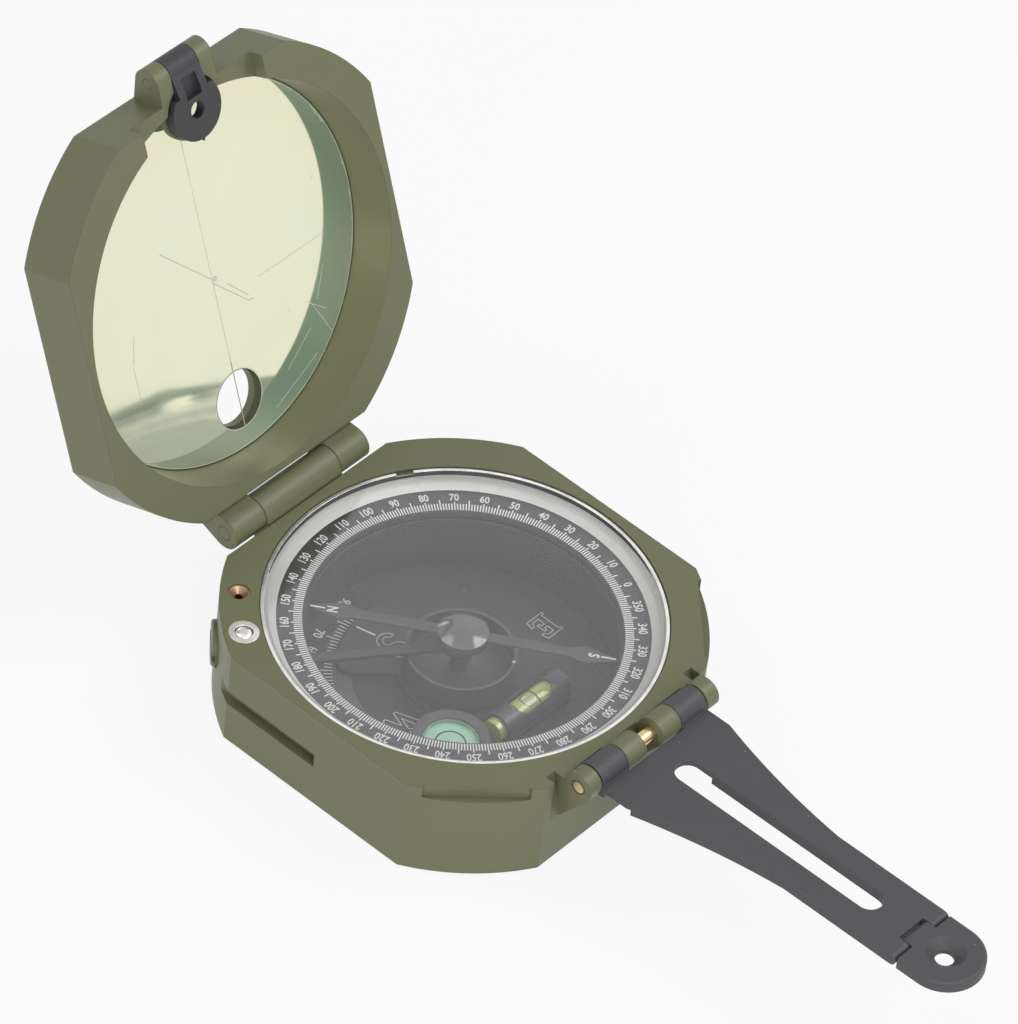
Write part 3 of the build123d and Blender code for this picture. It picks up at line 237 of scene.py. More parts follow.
class Flow:
    """One output of a node tree. Sums of flows add Math nodes, and add() makes any other node."""

    def __init__(self, tree, socket=None):
        self.tree = tree
        self.socket = socket

    def add(self, kind, settings=None, inputs=None, output=0):
        """Makes a node of this kind, sets it up, feeds its inputs and gives one of its outputs."""
        node = self.tree.nodes.new(kind)
        for key, value in (settings or {}).items():
            setattr(node, key, value)
        for key, value in (inputs or {}).items():
            plug(value, node.inputs[key])
        return Flow(self.tree, node.outputs[output])

    def sum_of(self, operation, first, second=None, kind="ShaderNodeMath", output=0):
        """A Math node on numbers and flows, or another kind of sum."""
        inputs = {0: first} if second is None else {0: first, 1: second}
        return self.add(kind, {"operation": operation}, inputs, output)

    def __add__(self, other):
        return self.sum_of("ADD", self, other)

    __radd__ = __add__

    def __mul__(self, other):
        return self.sum_of("MULTIPLY", self, other)

    __rmul__ = __mul__

    def __sub__(self, other):
        return self.sum_of("SUBTRACT", self, other)

    def __rsub__(self, other):
        return self.sum_of("SUBTRACT", other, self)

    def __truediv__(self, other):
        return self.sum_of("DIVIDE", self, other)

    def __mod__(self, other):
        return self.sum_of("FLOORED_MODULO", self, other)

    def __lt__(self, other):
        return self.sum_of("LESS_THAN", self, other)

    def larger(self, other):
        """The larger of two flows."""
        return self.sum_of("MAXIMUM", self, other)

    def step(self, low, high):
        """A soft step from 0 at low to 1 at high."""
        return self.add(
            "ShaderNodeMapRange", {"interpolation_type": "SMOOTHSTEP"},
            {"Value": self, "From Min": low, "From Max": high},
        )

    def mixed(self, first, second):
        """A colour that goes from first to second as this flow goes from 0 to 1."""
        return self.add(
            "ShaderNodeMix", {"data_type": "RGBA"}, {"Factor": self, 6: first, 7: second}, output=2
        )


def toned(colour, share=1.0):
    """A colour with full alpha, or a lighter or darker tone of it."""
    return (*(min(1.0, c * share) for c in colour), 1.0)


def mottled(flow, colour, low, high):
    """A colour that goes from its tone at one share to its tone at another with a flow."""
    return flow.mixed(toned(colour, low), toned(colour, high))


def new_material(name):
    """An empty material with its output and one principled shader, and a flow of Object coordinates."""
    material = bpy.data.materials.new(name)
    material.use_nodes = True
    tree = material.node_tree
    tree.nodes.clear()
    output = tree.nodes.new("ShaderNodeOutputMaterial")
    shader = tree.nodes.new("ShaderNodeBsdfPrincipled")
    tree.links.new(shader.outputs[0], output.inputs["Surface"])
    place = Flow(tree).add("ShaderNodeTexCoord", output="Object")
    return material, shader, place


def feed(shader, **inputs):
    """Sets or links inputs of a shader. A name's underscores stand for spaces."""
    for key, value in inputs.items():
        plug(value, shader.inputs[key.replace("_", " ")])


def show_mix(material, shader, other, share):
    """Makes a material show a share of another shader over its own."""
    tree = material.node_tree
    inputs = {0: share, 1: Flow(tree, shader.outputs[0]), 2: other}
    both = Flow(tree).add("ShaderNodeMixShader", None, inputs)
    output = next(node for node in tree.nodes if node.type == "OUTPUT_MATERIAL")
    tree.links.new(both.socket, output.inputs["Surface"])


def noise(place, cells, detail=3.0, rough=0.5):
    """A noise of this many cells per metre."""
    return place.add(
        "ShaderNodeTexNoise", None,
        {"Vector": place, "Scale": cells, "Detail": detail, "Roughness": rough},
    )


# Samples of an eased edge, and the turn of its normal where the edge starts and is full
BEVEL_SAMPLES = 6
EDGE_TURN = (0.02, 0.25)


def rounded_normal(place, radius):
    """The surface's normal with its edges eased over a radius."""
    return place.add("ShaderNodeBevel", {"samples": BEVEL_SAMPLES}, {"Radius": radius})


def edge_mask(place, rounded):
    """About 0 on flat faces and up to 1 along edges, from how far the eased normal turns."""
    true_normal = place.add("ShaderNodeNewGeometry", output="True Normal")
    along = place.sum_of("DOT_PRODUCT", rounded, true_normal, VECTORS, "Value")
    return (1 - along).step(*EDGE_TURN)


def bumped(place, height, strength, distance, normal=None):
    """A bump from a height, on top of another normal."""
    inputs = {"Strength": strength, "Distance": distance, "Height": height}
    if normal is not None:
        inputs["Normal"] = normal
    return place.add("ShaderNodeBump", None, inputs)


# How far each finish eases an edge
OLIVE_EASE = 0.22 * MM
ARM_EASE = 0.16 * MM
WORKS_EASE = 0.28 * MM
METAL_EASE = 0.1 * MM

# Colours of painted highlights along edges, of dust and of wear
ARM_EDGE_HIGHLIGHT = (0.22, 0.22, 0.24, 1.0)
ARM_DUST = (0.5, 0.5, 0.5, 1.0)
WORKS_EDGE_HIGHLIGHT = (0.26, 0.26, 0.27, 1.0)
WORKS_DUST = (0.4, 0.4, 0.4, 1.0)
RING_DARK = (0.60, 0.595, 0.57, 1.0)
RING_LIGHT = (0.69, 0.685, 0.665, 1.0)
RING_SPOT = (0.40, 0.39, 0.36, 1.0)
JEWEL_DARK = (0.36, 0.012, 0.03, 1.0)
JEWEL_LIGHT = (0.5, 0.03, 0.05, 1.0)


def olive_paint(paint):
    """Satin olive paint with a fine stipple, dull patches, dark edges and chips along them."""
    edge_dark, chip_share, fleck_share = 0.75, 0.85, 0.2
    material, shader, place = new_material("olive_paint")
    rounded = rounded_normal(place, OLIVE_EASE)
    edge = edge_mask(place, rounded)
    stipple = noise(place, cells=2600.0, detail=2.0)
    cloud = noise(place, cells=55.0, detail=4.0)
    chips = noise(place, cells=420.0, detail=5.0, rough=0.7).step(0.60, 0.72) * edge
    fleck = noise(place, cells=900.0, detail=2.0).step(0.795, 0.81)
    shade = (cloud - 0.5) * 0.5 + (stipple - 0.5) * 0.10
    base = mottled(shade + 0.5, paint.olive, 0.88, 1.12)
    lined = (edge * edge_dark).mixed(base, toned(paint.olive, 0.45))
    worn = (chips * chip_share + fleck * fleck_share).mixed(lined, toned(paint.olive_worn))
    feed(
        shader, Base_Color=worn, Roughness=cloud * 0.14 + 0.33 + stipple * 0.06, Metallic=0.0,
        Normal=bumped(place, stipple, strength=0.10, distance=0.04 * MM, normal=rounded),
    )
    return material


def satin_black(name, colour):
    """Black satin finish of the arm and the sights, with a fine grain, dust specks and a painted highlight along
    its edges.
    """
    edge_highlight, dust_share = 0.22, 0.35
    material, shader, place = new_material(name)
    rounded = rounded_normal(place, ARM_EASE)
    edge = edge_mask(place, rounded)
    grain = noise(place, cells=2200.0)
    cloud = noise(place, cells=70.0, detail=4.0)
    speck = noise(place, cells=1100.0, detail=1.0).step(0.80, 0.82)
    base = mottled(cloud * 0.7 + grain * 0.3, colour, 0.86, 1.14)
    # Painted highlight: the colour turns lighter along the edges
    eased = (edge * edge_highlight).mixed(base, ARM_EDGE_HIGHLIGHT)
    feed(
        shader, Base_Color=(speck * dust_share).mixed(eased, ARM_DUST),
        Roughness=cloud * 0.12 + 0.42 + grain * 0.08,
        Normal=bumped(place, grain, strength=0.16, distance=0.05 * MM, normal=rounded),
    )
    return material


# Edges of the mirror and of its window: where each mark starts and is full, from the edge
MIRROR_GAP = (0.24 * MM, 0.16 * MM)
MIRROR_GROUND = (0.48 * MM, 0.34 * MM)
WINDOW_WALL = (0.08 * MM, 0.16 * MM)
WINDOW_LIP = (0.30 * MM, 0.42 * MM)
MIRROR_FLAKE = 0.5 * MM
MIRROR_AGED = (0.86, 0.82, 0.60, 1.0)
MIRROR_SPECK = (0.55, 0.55, 0.40, 1.0)
MIRROR_PALE = (0.58, 0.64, 0.50, 1.0)
MIRROR_DARK = (0.035, 0.042, 0.028, 1.0)


def from_lid_axis(place, y):
    """How far a point lies from a line through the lid, square to the mirror."""
    back = LID_FRAME.to_3x3() @ Vector((0, 0, 1))
    foot = LID_FRAME @ Vector((0, y, MIRROR_FACE))
    reach = place.sum_of("SUBTRACT", place, foot, VECTORS)
    aside = place.sum_of("CROSS_PRODUCT", reach, back, VECTORS)
    return place.sum_of("LENGTH", aside, None, VECTORS, "Value")


def lid_mirror(paint):
    """Silvered mirror with a warm tint, specks, a thin bluish veil and a pale ground edge."""
    pale_share, dark_share = 0.62, 0.94
    material, shader, place = new_material("lid_mirror")
    haze = noise(place, cells=90.0, detail=5.0)
    speck = noise(place, cells=700.0, detail=1.0).step(0.79, 0.81)
    tint = (haze.step(0.35, 0.7) * 0.08).mixed(toned(paint.mirror_tint), MIRROR_AGED)
    dusty = (speck * 0.35).mixed(tint, MIRROR_SPECK)
    feed(shader, Base_Color=dusty, Roughness=haze.step(0.45, 0.9) * 0.04 + 0.055, Metallic=1.0)
    tree = material.node_tree
    veil = tree.nodes.new("ShaderNodeBsdfPrincipled")
    radius = from_lid_axis(place, 0.0)
    hole = from_lid_axis(place, WINDOW_Y)
    flakes = noise(place, cells=330.0).step(0.52, 0.74) * MIRROR_FLAKE
    gap = radius.step(*(MIRROR_RADIUS - inset for inset in MIRROR_GAP))
    ground = (radius + flakes).step(*(MIRROR_RADIUS - inset for inset in MIRROR_GROUND))
    wall = 1 - hole.step(*(WINDOW_RADIUS + reach for reach in WINDOW_WALL))
    lip = 1 - hole.step(*(WINDOW_RADIUS + reach for reach in WINDOW_LIP))
    pale, dark = ground.larger(lip), gap.larger(wall)
    edged = pale.mixed(mottled(haze, paint.mirror_veil, 0.92, 1.0), MIRROR_PALE)
    feed(veil, Base_Color=dark.mixed(edged, MIRROR_DARK), Roughness=0.7, Specular_IOR_Level=0.0)
    share = (pale * pale_share).larger(dark * dark_share).larger(haze * 0.06 + 0.12)
    show_mix(material, shader, Flow(tree, veil.outputs[0]), share)
    return material


def clear_glass(name, tint, bend):
    """Clear glass that lets lamps reach what is behind it."""
    material, shader, place = new_material(name)
    smear = noise(place, cells=60.0, detail=4.0)
    feed(
        shader, Base_Color=mottled(smear, tint, 0.97, 1.0), Roughness=smear.step(0.55, 0.85) * 0.02,
        Transmission_Weight=1.0, IOR=bend,
    )
    tree = material.node_tree
    rays = Flow(tree).add("ShaderNodeLightPath", output="Is Shadow Ray")
    diffuse = Flow(tree, rays.socket.node.outputs["Is Diffuse Ray"])
    clear = Flow(tree).add("ShaderNodeBsdfTransparent")
    show_mix(material, shader, clear, rays.larger(diffuse))
    return material


# Cells per metre of the turning lines: along the face, and down the axis of the piece
TURNING_CELLS = (600.0, 600.0, 9000.0)


def bright_metal(name, colour, rough, tarnish):
    """Turned metal with fine turning lines and a little tarnish."""
    material, shader, place = new_material(name)
    stretched = place.add("ShaderNodeMapping", None, {0: place, "Scale": TURNING_CELLS})
    lines = place.add("ShaderNodeTexNoise", None, {"Vector": stretched, "Scale": 1.0, "Detail": 3.0})
    cloud = noise(place, cells=260.0, detail=4.0)
    rounded = rounded_normal(place, METAL_EASE)
    feed(
        shader, Base_Color=cloud.step(0.4, 0.75).mixed(toned(colour), toned(tarnish)), Metallic=1.0,
        Roughness=lines * 0.14 + rough,
        Normal=bumped(place, lines, strength=0.02, distance=0.02 * MM, normal=rounded),
    )
    return material


def ring_white():
    """Dull white ring under the crystal, a little rubbed."""
    material, shader, place = new_material("ring_white")
    cloud = noise(place, cells=120.0, detail=5.0)
    spots = noise(place, cells=650.0).step(0.66, 0.78)
    feed(
        shader, Base_Color=(spots * 0.4).mixed(cloud.mixed(RING_DARK, RING_LIGHT), RING_SPOT),
        Roughness=cloud * 0.15 + 0.38, Normal=bumped(place, cloud, strength=0.05, distance=0.1 * MM),
    )
    return material


def works_black(name, colour, rough, coat=0.0, edge_highlight=0.0):
    """Black finish of the parts under the crystal, with fine dust and a painted highlight along its edges."""
    dust_share = 0.4
    material, shader, place = new_material(name)
    rounded = rounded_normal(place, WORKS_EASE)
    cloud = noise(place, cells=90.0, detail=4.0)
    dust = noise(place, cells=520.0, detail=1.0).step(0.815, 0.83)
    # Painted highlight: the colour turns lighter along the edges
    edged = (edge_mask(place, rounded) * edge_highlight).mixed(mottled(cloud, colour, 0.85, 1.18), WORKS_EDGE_HIGHLIGHT)
    feed(
        shader, Base_Color=(dust * dust_share).mixed(edged, WORKS_DUST), Roughness=cloud * 0.08 + rough,
        Coat_Weight=coat, Coat_Roughness=0.06, Normal=rounded,
    )
    return material


def even_finish(name, dark, light, cells, rough, vary, detail=3.0, coat=0.0):
    """A finish whose tone and gloss vary a little."""
    material, shader, place = new_material(name)
    cloud = noise(place, cells, detail)
    feed(
        shader, Base_Color=cloud.mixed(dark, light), Roughness=cloud * vary + rough,
        Coat_Weight=coat, Coat_Roughness=0.03,
    )
    return material


def level_liquid(name, colour):
    """Tinted liquid behind polished glass."""
    dark, light = toned(colour, 0.9), toned(colour, 1.1)
    return even_finish(name, dark, light, cells=300.0, rough=0.08, vary=0.06, coat=0.8)


def printed(name, colour):
    """Printed paint, slightly uneven."""
    dark, light = toned(colour, 0.82), toned(colour, 1.08)
    return even_finish(name, dark, light, cells=1400.0, rough=0.5, vary=0.1)


def finish_material(name):
    """A material made earlier by the finishes operator."""
    material = bpy.data.materials.get(name)
    if material is None:
        raise RuntimeError(f"the finish {name} isn't there: run the finishes first")
    return material


def finish(piece, finish_name, body):
    """Gives a new piece its material and its body."""
    piece.data.materials.clear()
    piece.data.materials.append(finish_material(finish_name))
    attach(piece, body)


def new_piece(name, mesh):
    """A mesh as an object in the scene."""
    piece = bpy.data.objects.new(name, mesh)
    bpy.context.scene.collection.objects.link(piece)
    return piece


def lettering(words, size, thickness, narrow=1.0, bold=0.0):
    """A mesh of upright words centred on the origin, facing +Z and standing on Z 0."""
    curve = bpy.data.curves.new("lettering", "FONT")
    curve.body = words
    curve.size = size
    curve.align_x = "CENTER"
    curve.align_y = "CENTER"
    curve.resolution_u = 3
    curve.offset = bold
    curve.extrude = thickness / 2
    words_object = new_piece("lettering", curve)
    bpy.context.view_layer.update()
    graph = bpy.context.evaluated_depsgraph_get()
    mesh = bpy.data.meshes.new_from_object(words_object.evaluated_get(graph))
    bpy.data.objects.remove(words_object)
    bpy.data.curves.remove(curve)
    xs = [v.co.x for v in mesh.vertices]
    ys = [v.co.y for v in mesh.vertices]
    middle = Vector(((max(xs) + min(xs)) / 2, (max(ys) + min(ys)) / 2, -thickness / 2))
    mesh.transform(Matrix.Diagonal((narrow, 1, 1, 1)) @ Matrix.Translation(-middle))
    return mesh


# Corners nearer than this are one, and an angle below this is none
SAME_PLACE = 1e-7
SAME_ANGLE = 1e-6

# The share of a tapered ring's width at its ends, before its root
TAPER_END = 0.02


def made(maker, name):
    """A mesh of what a maker holds. The maker is then let go."""
    mesh = bpy.data.meshes.new(name)
    maker.to_mesh(mesh)
    maker.free()
    return mesh


def skinned(maker, rows, name):
    """A mesh with faces between closed rows of corners."""
    for near, far in zip(rows, rows[1:]):
        for i in range(len(near)):
            maker.faces.new((near[i - 1], near[i], far[i], far[i - 1]))
    bmesh.ops.remove_doubles(maker, verts=maker.verts, dist=SAME_PLACE)
    bmesh.ops.recalc_face_normals(maker, faces=maker.faces)
    return made(maker, name)


def spot(x, y, z, turn=0.0):
    """A place, turned about Z."""
    return Matrix.Translation((x, y, z)) @ Matrix.Rotation(turn, 4, "Z")


def block(size):
    """A mesh of a bar of this size, centred in plan and standing on Z 0."""
    maker = bmesh.new()
    bmesh.ops.create_cube(maker, size=1.0)
    place = spot(0, 0, size[2] / 2) @ Matrix.Diagonal((*size, 1))
    bmesh.ops.transform(maker, matrix=place, verts=maker.verts)
    return made(maker, "block")


def flat_ring(inner, outer, thickness, start=0.0, end=2 * pi, steps=72, tapered=False):
    """A mesh of a flat ring, or of part of one, on Z 0. A tapered one thins inside to its ends."""
    maker = bmesh.new()
    whole = abs(end - start - 2 * pi) < SAME_ANGLE
    rows = []
    for i in range(steps if whole else steps + 1):
        angle = start + (end - start) * i / steps
        share = max(TAPER_END, sin(pi * i / steps)) ** 0.5 if tapered else 1.0
        near = outer - (outer - inner) * share
        rows.append([
            maker.verts.new((radius * cos(angle), radius * sin(angle), height))
            for radius, height in ((near, 0), (outer, 0), (outer, thickness), (near, thickness))
        ])
    if whole:
        rows.append(rows[0])
    else:
        maker.faces.new(rows[0])
        maker.faces.new(rows[-1])
    return skinned(maker, rows, "flat_ring")


# How far the bars of an outline lap at its corners, as a share of their width
CORNER_LAP = 0.7


def outlined(points, place, height, width, thickness):
    """Bars along a closed outline that is one unit high, centred on its own box, and their places."""
    xs, ys = zip(*points)
    middle = Vector(((max(xs) + min(xs)) / 2, (max(ys) + min(ys)) / 2))
    corners = [(Vector(point) - middle) * height for point in points]
    bars = []
    for first, second in zip(corners, corners[1:] + corners[:1]):
        run = second - first
        bar = block((run.length + width * CORNER_LAP, width, thickness))
        bars.append((bar, place @ spot(*((first + second) / 2), 0, atan2(run.y, run.x))))
    return bars


# Outlines of the floor's letters, one unit high
LETTER_E = (
    (0, 0), (0.78, 0), (0.84, 0.30), (0.74, 0.30), (0.62, 0.14), (0.34, 0.14), (0.34, 0.44), (0.48, 0.44),
    (0.50, 0.34), (0.60, 0.34), (0.60, 0.68), (0.50, 0.68), (0.48, 0.57), (0.34, 0.57), (0.34, 0.86),
    (0.60, 0.86), (0.70, 0.72), (0.80, 0.72), (0.76, 1.0), (0, 1.0), (0, 0.93), (0.12, 0.90), (0.12, 0.10),
    (0, 0.07),
)
LETTER_W = (
    (0, 1.0), (0.36, 1.0), (0.36, 0.93), (0.29, 0.90), (0.43, 0.34), (0.58, 0.80), (0.55, 0.90), (0.48, 0.93),
    (0.48, 1.0), (0.86, 1.0), (0.86, 0.93), (0.79, 0.90), (0.93, 0.34), (1.06, 0.90), (0.98, 0.93), (0.98, 1.0),
    (1.26, 1.0), (1.26, 0.93), (1.19, 0.90), (0.93, 0), (0.84, 0), (0.65, 0.58), (0.46, 0), (0.37, 0),
    (0.07, 0.90), (0, 0.93),
)


# The two arcs of an S: rise, radius, start and sweep in degrees, first and last step, turn of the stroke
S_ARCS = ((0.735, 0.235, 20, 250, 0, 13, 0), (0.255, 0.255, 90, -255, 1, 14, pi))
S_MIDDLE = 0.36
S_HALF_STROKE = 0.075
S_SWELL = 0.02


def letter_s():
    """The outline of an S: two arcs with a stroke that swells in the middle."""
    spine = []
    for rise, radius, start, sweep, first, last, turn in S_ARCS:
        for i in range(first, last + 1):
            angle = radians(start + sweep * i / last)
            spine.append((S_MIDDLE + radius * cos(angle), rise + radius * sin(angle), angle + turn))
    last = len(spine) - 1
    halves = [S_HALF_STROKE + S_SWELL * sin(pi * i / last) for i in range(last + 1)]
    left = [(x + h * cos(a), y + h * sin(a)) for (x, y, a), h in zip(spine, halves)]
    right = [(x - h * cos(a), y - h * sin(a)) for (x, y, a), h in zip(spine, halves)]
    return tuple(left + right[::-1])


def vial_patch(half_length, half_width, rise, square=2.0, steps=24, columns=32):
    """A thin rounded patch bent to the tube level's glass, at the top of a tube about the X axis."""
    maker = bmesh.new()
    rows = []
    for i in range(steps + 1):
        share = 2 * i / steps - 1
        reach = half_width * (1 - abs(share) ** square) ** (1 / square) / VIAL_RADIUS
        angles = [reach * (2 * j / columns - 1) for j in range(columns + 1)]
        sides = ((VIAL_RADIUS - rise, angles), (VIAL_RADIUS + rise, angles[::-1]))
        rows.append([
            maker.verts.new((share * half_length, radius * sin(angle), radius * cos(angle)))
            for radius, turns in sides for angle in turns
        ])
    for row in (rows[0], rows[-1]):
        for j in range(columns):
            maker.faces.new((row[j], row[j + 1], row[-2 - j], row[-1 - j]))
    return skinned(maker, rows, "vial_patch")


def gathered(name, placed, finish_name, body):
    """One finished piece from pairs of a mesh and its place."""
    maker = bmesh.new()
    for mesh, place in placed:
        mesh.transform(place)
        maker.from_mesh(mesh)
        bpy.data.meshes.remove(mesh)
    finish(new_piece(name, made(maker, name)), finish_name, body)


def round_the_dial(angle, radius, height, turn=-pi / 2):
    """A place at a radius and height, with words' tops outward."""
    return Matrix.Rotation(angle, 4, "Z") @ spot(radius, 0, height, turn)


TICK_MEASURES = (
    "Start", "Step", "Inner Radius", "Length", "Five Length", "Ten Length", "Width", "Thickness", "Height",
)
TICK_INPUTS = {
    "Count": "NodeSocketInt", **dict.fromkeys(TICK_MEASURES, "NodeSocketFloat"), "Material": "NodeSocketMaterial",
}


def tick_tree():
    """Bars round a circle: every fifth and tenth has its own length."""
    tree = bpy.data.node_groups.new("dial_ticks", "GeometryNodeTree")
    sockets = {
        name: tree.interface.new_socket(name=name, in_out="INPUT", socket_type=kind)
        for name, kind in TICK_INPUTS.items()
    }
    tree.interface.new_socket(name="Geometry", in_out="OUTPUT", socket_type="NodeSocketGeometry")
    entry = tree.nodes.new("NodeGroupInput")
    given = {name: Flow(tree, entry.outputs[name]) for name in sockets}
    flow = Flow(tree)
    index = flow.add("GeometryNodeInputIndex")
    angle = index * given["Step"] + given["Start"]
    is_five = (index % 5.0) < 0.5
    is_ten = (index % 10.0) < 0.5
    five_part = (is_five - is_ten) * (given["Five Length"] - given["Length"])
    length = given["Length"] + five_part + is_ten * (given["Ten Length"] - given["Length"])
    middle = given["Inner Radius"] + length / 2.0
    place = flow.add(
        "ShaderNodeCombineXYZ", None,
        {0: middle * angle.sum_of("COSINE", angle), 1: middle * angle.sum_of("SINE", angle), 2: given["Height"]},
    )
    points = flow.add("GeometryNodePoints", None, {"Count": given["Count"], "Position": place})
    bar = flow.add("GeometryNodeMeshCube")
    spin = flow.add("ShaderNodeCombineXYZ", None, {2: angle})
    turn = flow.add("FunctionNodeEulerToRotation", None, {0: spin})
    scale = flow.add("ShaderNodeCombineXYZ", None, {0: length, 1: given["Width"], 2: given["Thickness"]})
    bars = flow.add(
        "GeometryNodeInstanceOnPoints", None,
        {"Points": points, "Instance": bar, "Rotation": turn, "Scale": scale},
    )
    real = flow.add("GeometryNodeRealizeInstances", None, {0: bars})
    painted = flow.add("GeometryNodeSetMaterial", None, {"Geometry": real, "Material": given["Material"]})
    exit_node = tree.nodes.new("NodeGroupOutput")
    tree.links.new(painted.socket, exit_node.inputs["Geometry"])
    return tree, {name: item.identifier for name, item in sockets.items()}


def ticks(name, body, top, thin, **values):
    """A baked and finished piece of ticks. A value's name has underscores for spaces."""
    tree, identifiers = tick_tree()
    piece = new_piece(name, bpy.data.meshes.new(name))
    modifier = piece.modifiers.new("Ticks", "NODES")
    modifier.node_group = tree
    values |= {"Thickness": thin, "Height": top + thin / 2, "Material": finish_material("print_white")}
    for key, value in values.items():
        modifier[identifiers[key.replace("_", " ")]] = value
    graph = bpy.context.evaluated_depsgraph_get()
    graph.update()
    baked = bpy.data.meshes.new_from_object(piece.evaluated_get(graph))
    piece.modifiers.clear()
    piece.data = baked
    bpy.data.node_groups.remove(tree)
    finish(piece, "print_white", body)


# Turned metals: colour, roughness and tarnish
METALS = {
    "turned_steel": ((0.86, 0.84, 0.82), 0.12, (0.68, 0.65, 0.61)),
    "eyelet_copper": ((0.40, 0.28, 0.17), 0.30, (0.27, 0.18, 0.11)),
    "turned_brass": ((0.76, 0.57, 0.31), 0.22, (0.56, 0.38, 0.19)),
}
# Printed tones. The dark grey laid along the crystal's ring is painted shade, not print
PRINTS = {
    "print_black": (0.012, 0.012, 0.012), "print_grey": (0.13, 0.13, 0.13), "ring_shade_grey": (0.035, 0.035, 0.04),
    "seal_pale": (0.43, 0.43, 0.42), "mirror_grey": (0.40, 0.41, 0.30), "mirror_pale": (0.60, 0.61, 0.54),
}
# Liquid tones. The darker bubble tones are painted shade at the bubbles' rims, and the bright vial green is a
# painted highlight
LIQUIDS = {
    "bubble_pale": (0.44, 0.48, 0.25), "bubble_shade_green": (0.13, 0.16, 0.05), "bubble_teal_shade": (0.13, 0.30, 0.22),
    "vial_highlight_green": (0.66, 0.76, 0.20),
}
# Tones of the small sight, the needle and the round level's wall, as shares of their paints. The wall's darker
# tone is painted shade
SIGHT_TONE = 0.55
NEEDLE_TONE = 0.8
LEVEL_WALL_SHADE = 0.42
# Glass: tint and index of refraction
CRYSTAL_TINT = (1.0, 1.0, 1.0)
CRYSTAL_BEND = 1.62
LEVEL_TINT = (0.90, 1.0, 0.95)
LEVEL_BEND = 1.2


class COMPASS_OT_finishes(bpy.types.Operator):
    """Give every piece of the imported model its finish"""

    bl_idname = "compass.finishes"
    bl_label = "Finishes"

    def execute(self, context):
        paint = context.scene.compass_paint
        olive = olive_paint(paint)
        black = satin_black("arm_black", paint.arm_black)
        sight = satin_black("sight_black", [c * SIGHT_TONE for c in paint.arm_black])
        metals = {name: bright_metal(name, *look) for name, look in METALS.items()}
        dial = works_black("dial_ground", paint.dial_black, rough=0.5)
        works = works_black("works_black", paint.works_black, rough=0.36, edge_highlight=0.55)
        needle_paint = [c * NEEDLE_TONE for c in paint.works_black]
        needle = works_black("needle_black", needle_paint, rough=0.36, edge_highlight=0.25)
        polished = works_black("polished_black", paint.works_black, rough=0.10, coat=1.0, edge_highlight=0.2)
        jewel = even_finish(
            "red_jewel", JEWEL_DARK, JEWEL_LIGHT, cells=800.0, rough=0.05, vary=0.05, detail=2.0, coat=0.5,
        )
        printed("print_white", paint.print_white)
        for name, colour in PRINTS.items():
            printed(name, colour)
        level_liquid("round_level_floor", paint.round_green)
        # Painted shade: a darker copy of the round level's green for its wall
        level_liquid("round_level_shaded_wall", [c * LEVEL_WALL_SHADE for c in paint.round_green])
        for name, colour in LIQUIDS.items():
            level_liquid(name, colour)
        painted_over = {
            "lid_hinge_pin": olive, "lid_sight_pin": olive, "peep_pin": black, "lid_sight": sight,
            "needle_cap": polished, "needle_bush": polished, "clinometer_spindle": works,
            "spindle_bush": works, "needle_pivot": works, "lift_lever": dial,
            "brass_eyelet": metals["eyelet_copper"],
        }
        by_slot = {
            "olive_paint": olive, "olive_knob": olive, "black_paint": black, "mirror_glass": lid_mirror(paint),
            "clear_glass": clear_glass("clear_crystal", CRYSTAL_TINT, CRYSTAL_BEND),
            "steel": metals["turned_steel"], "brass": metals["turned_brass"], "white_enamel": ring_white(),
            "dial_black": dial, "black_works": works, "needle_steel": needle, "jewel": jewel,
            "vial_liquid": level_liquid("vial_liquid", paint.vial_green),
            "round_level_liquid": clear_glass("round_level_glass", LEVEL_TINT, LEVEL_BEND),
        }
        for name, node in frame["nodes"].items():
            slot = node.material_slots[0].material.name.split(".")[0]
            if slot not in by_slot:
                raise RuntimeError(f"the node {name} has the unknown finish {slot}")
            node.material_slots[0].material = painted_over.get(name, by_slot[slot])
        return {"FINISHED"}


# Print on the dial
FULL_TURN = 360
NUMBER_STEP = 10
DIAL_TYPE = {"narrow": 0.78, "bold": 0.04 * MM}


class COMPASS_OT_dial_marks(bpy.types.Operator):
    """Print the ticks and numbers on the dial ring"""

    bl_idname = "compass.dial_marks"
    bl_label = "Dial marks"

    def execute(self, context):
        marks = context.scene.compass_marks
        ticks(
            "dial_ticks", "dial", DIAL_TOP, marks.print_thickness, Count=marks.degrees, Start=marks.dial_zero,
            Step=2 * pi / marks.degrees, Inner_Radius=marks.tick_inner, Length=marks.tick_length,
            Five_Length=marks.tick_five, Ten_Length=marks.tick_ten, Width=marks.tick_width,
        )
        placed = []
        for number in range(0, FULL_TURN, NUMBER_STEP):
            words = lettering(str(number), marks.number_size, marks.print_thickness, **DIAL_TYPE)
            angle = marks.dial_zero + radians(number)
            placed.append((words, round_the_dial(angle, marks.number_radius, DIAL_TOP)))
        gathered("dial_numbers", placed, "print_white", "dial")
        return {"FINISHED"}


# The seal inside the crystal's ring, and painted shade: a dark arc on its far side and a dark ring in the gap
# along the rim's lip
SEAL_THICK = 0.05 * MM
RING_SHADE_THICK = 0.02 * MM
SHADE_ARC_WIDTH = 0.5 * MM
SHADE_ARC_ENDS = (radians(-26), radians(120))
RIM_GAP_SHADE_WIDTH = 0.2 * MM
RIM_GAP_PLAY = 0.01 * MM


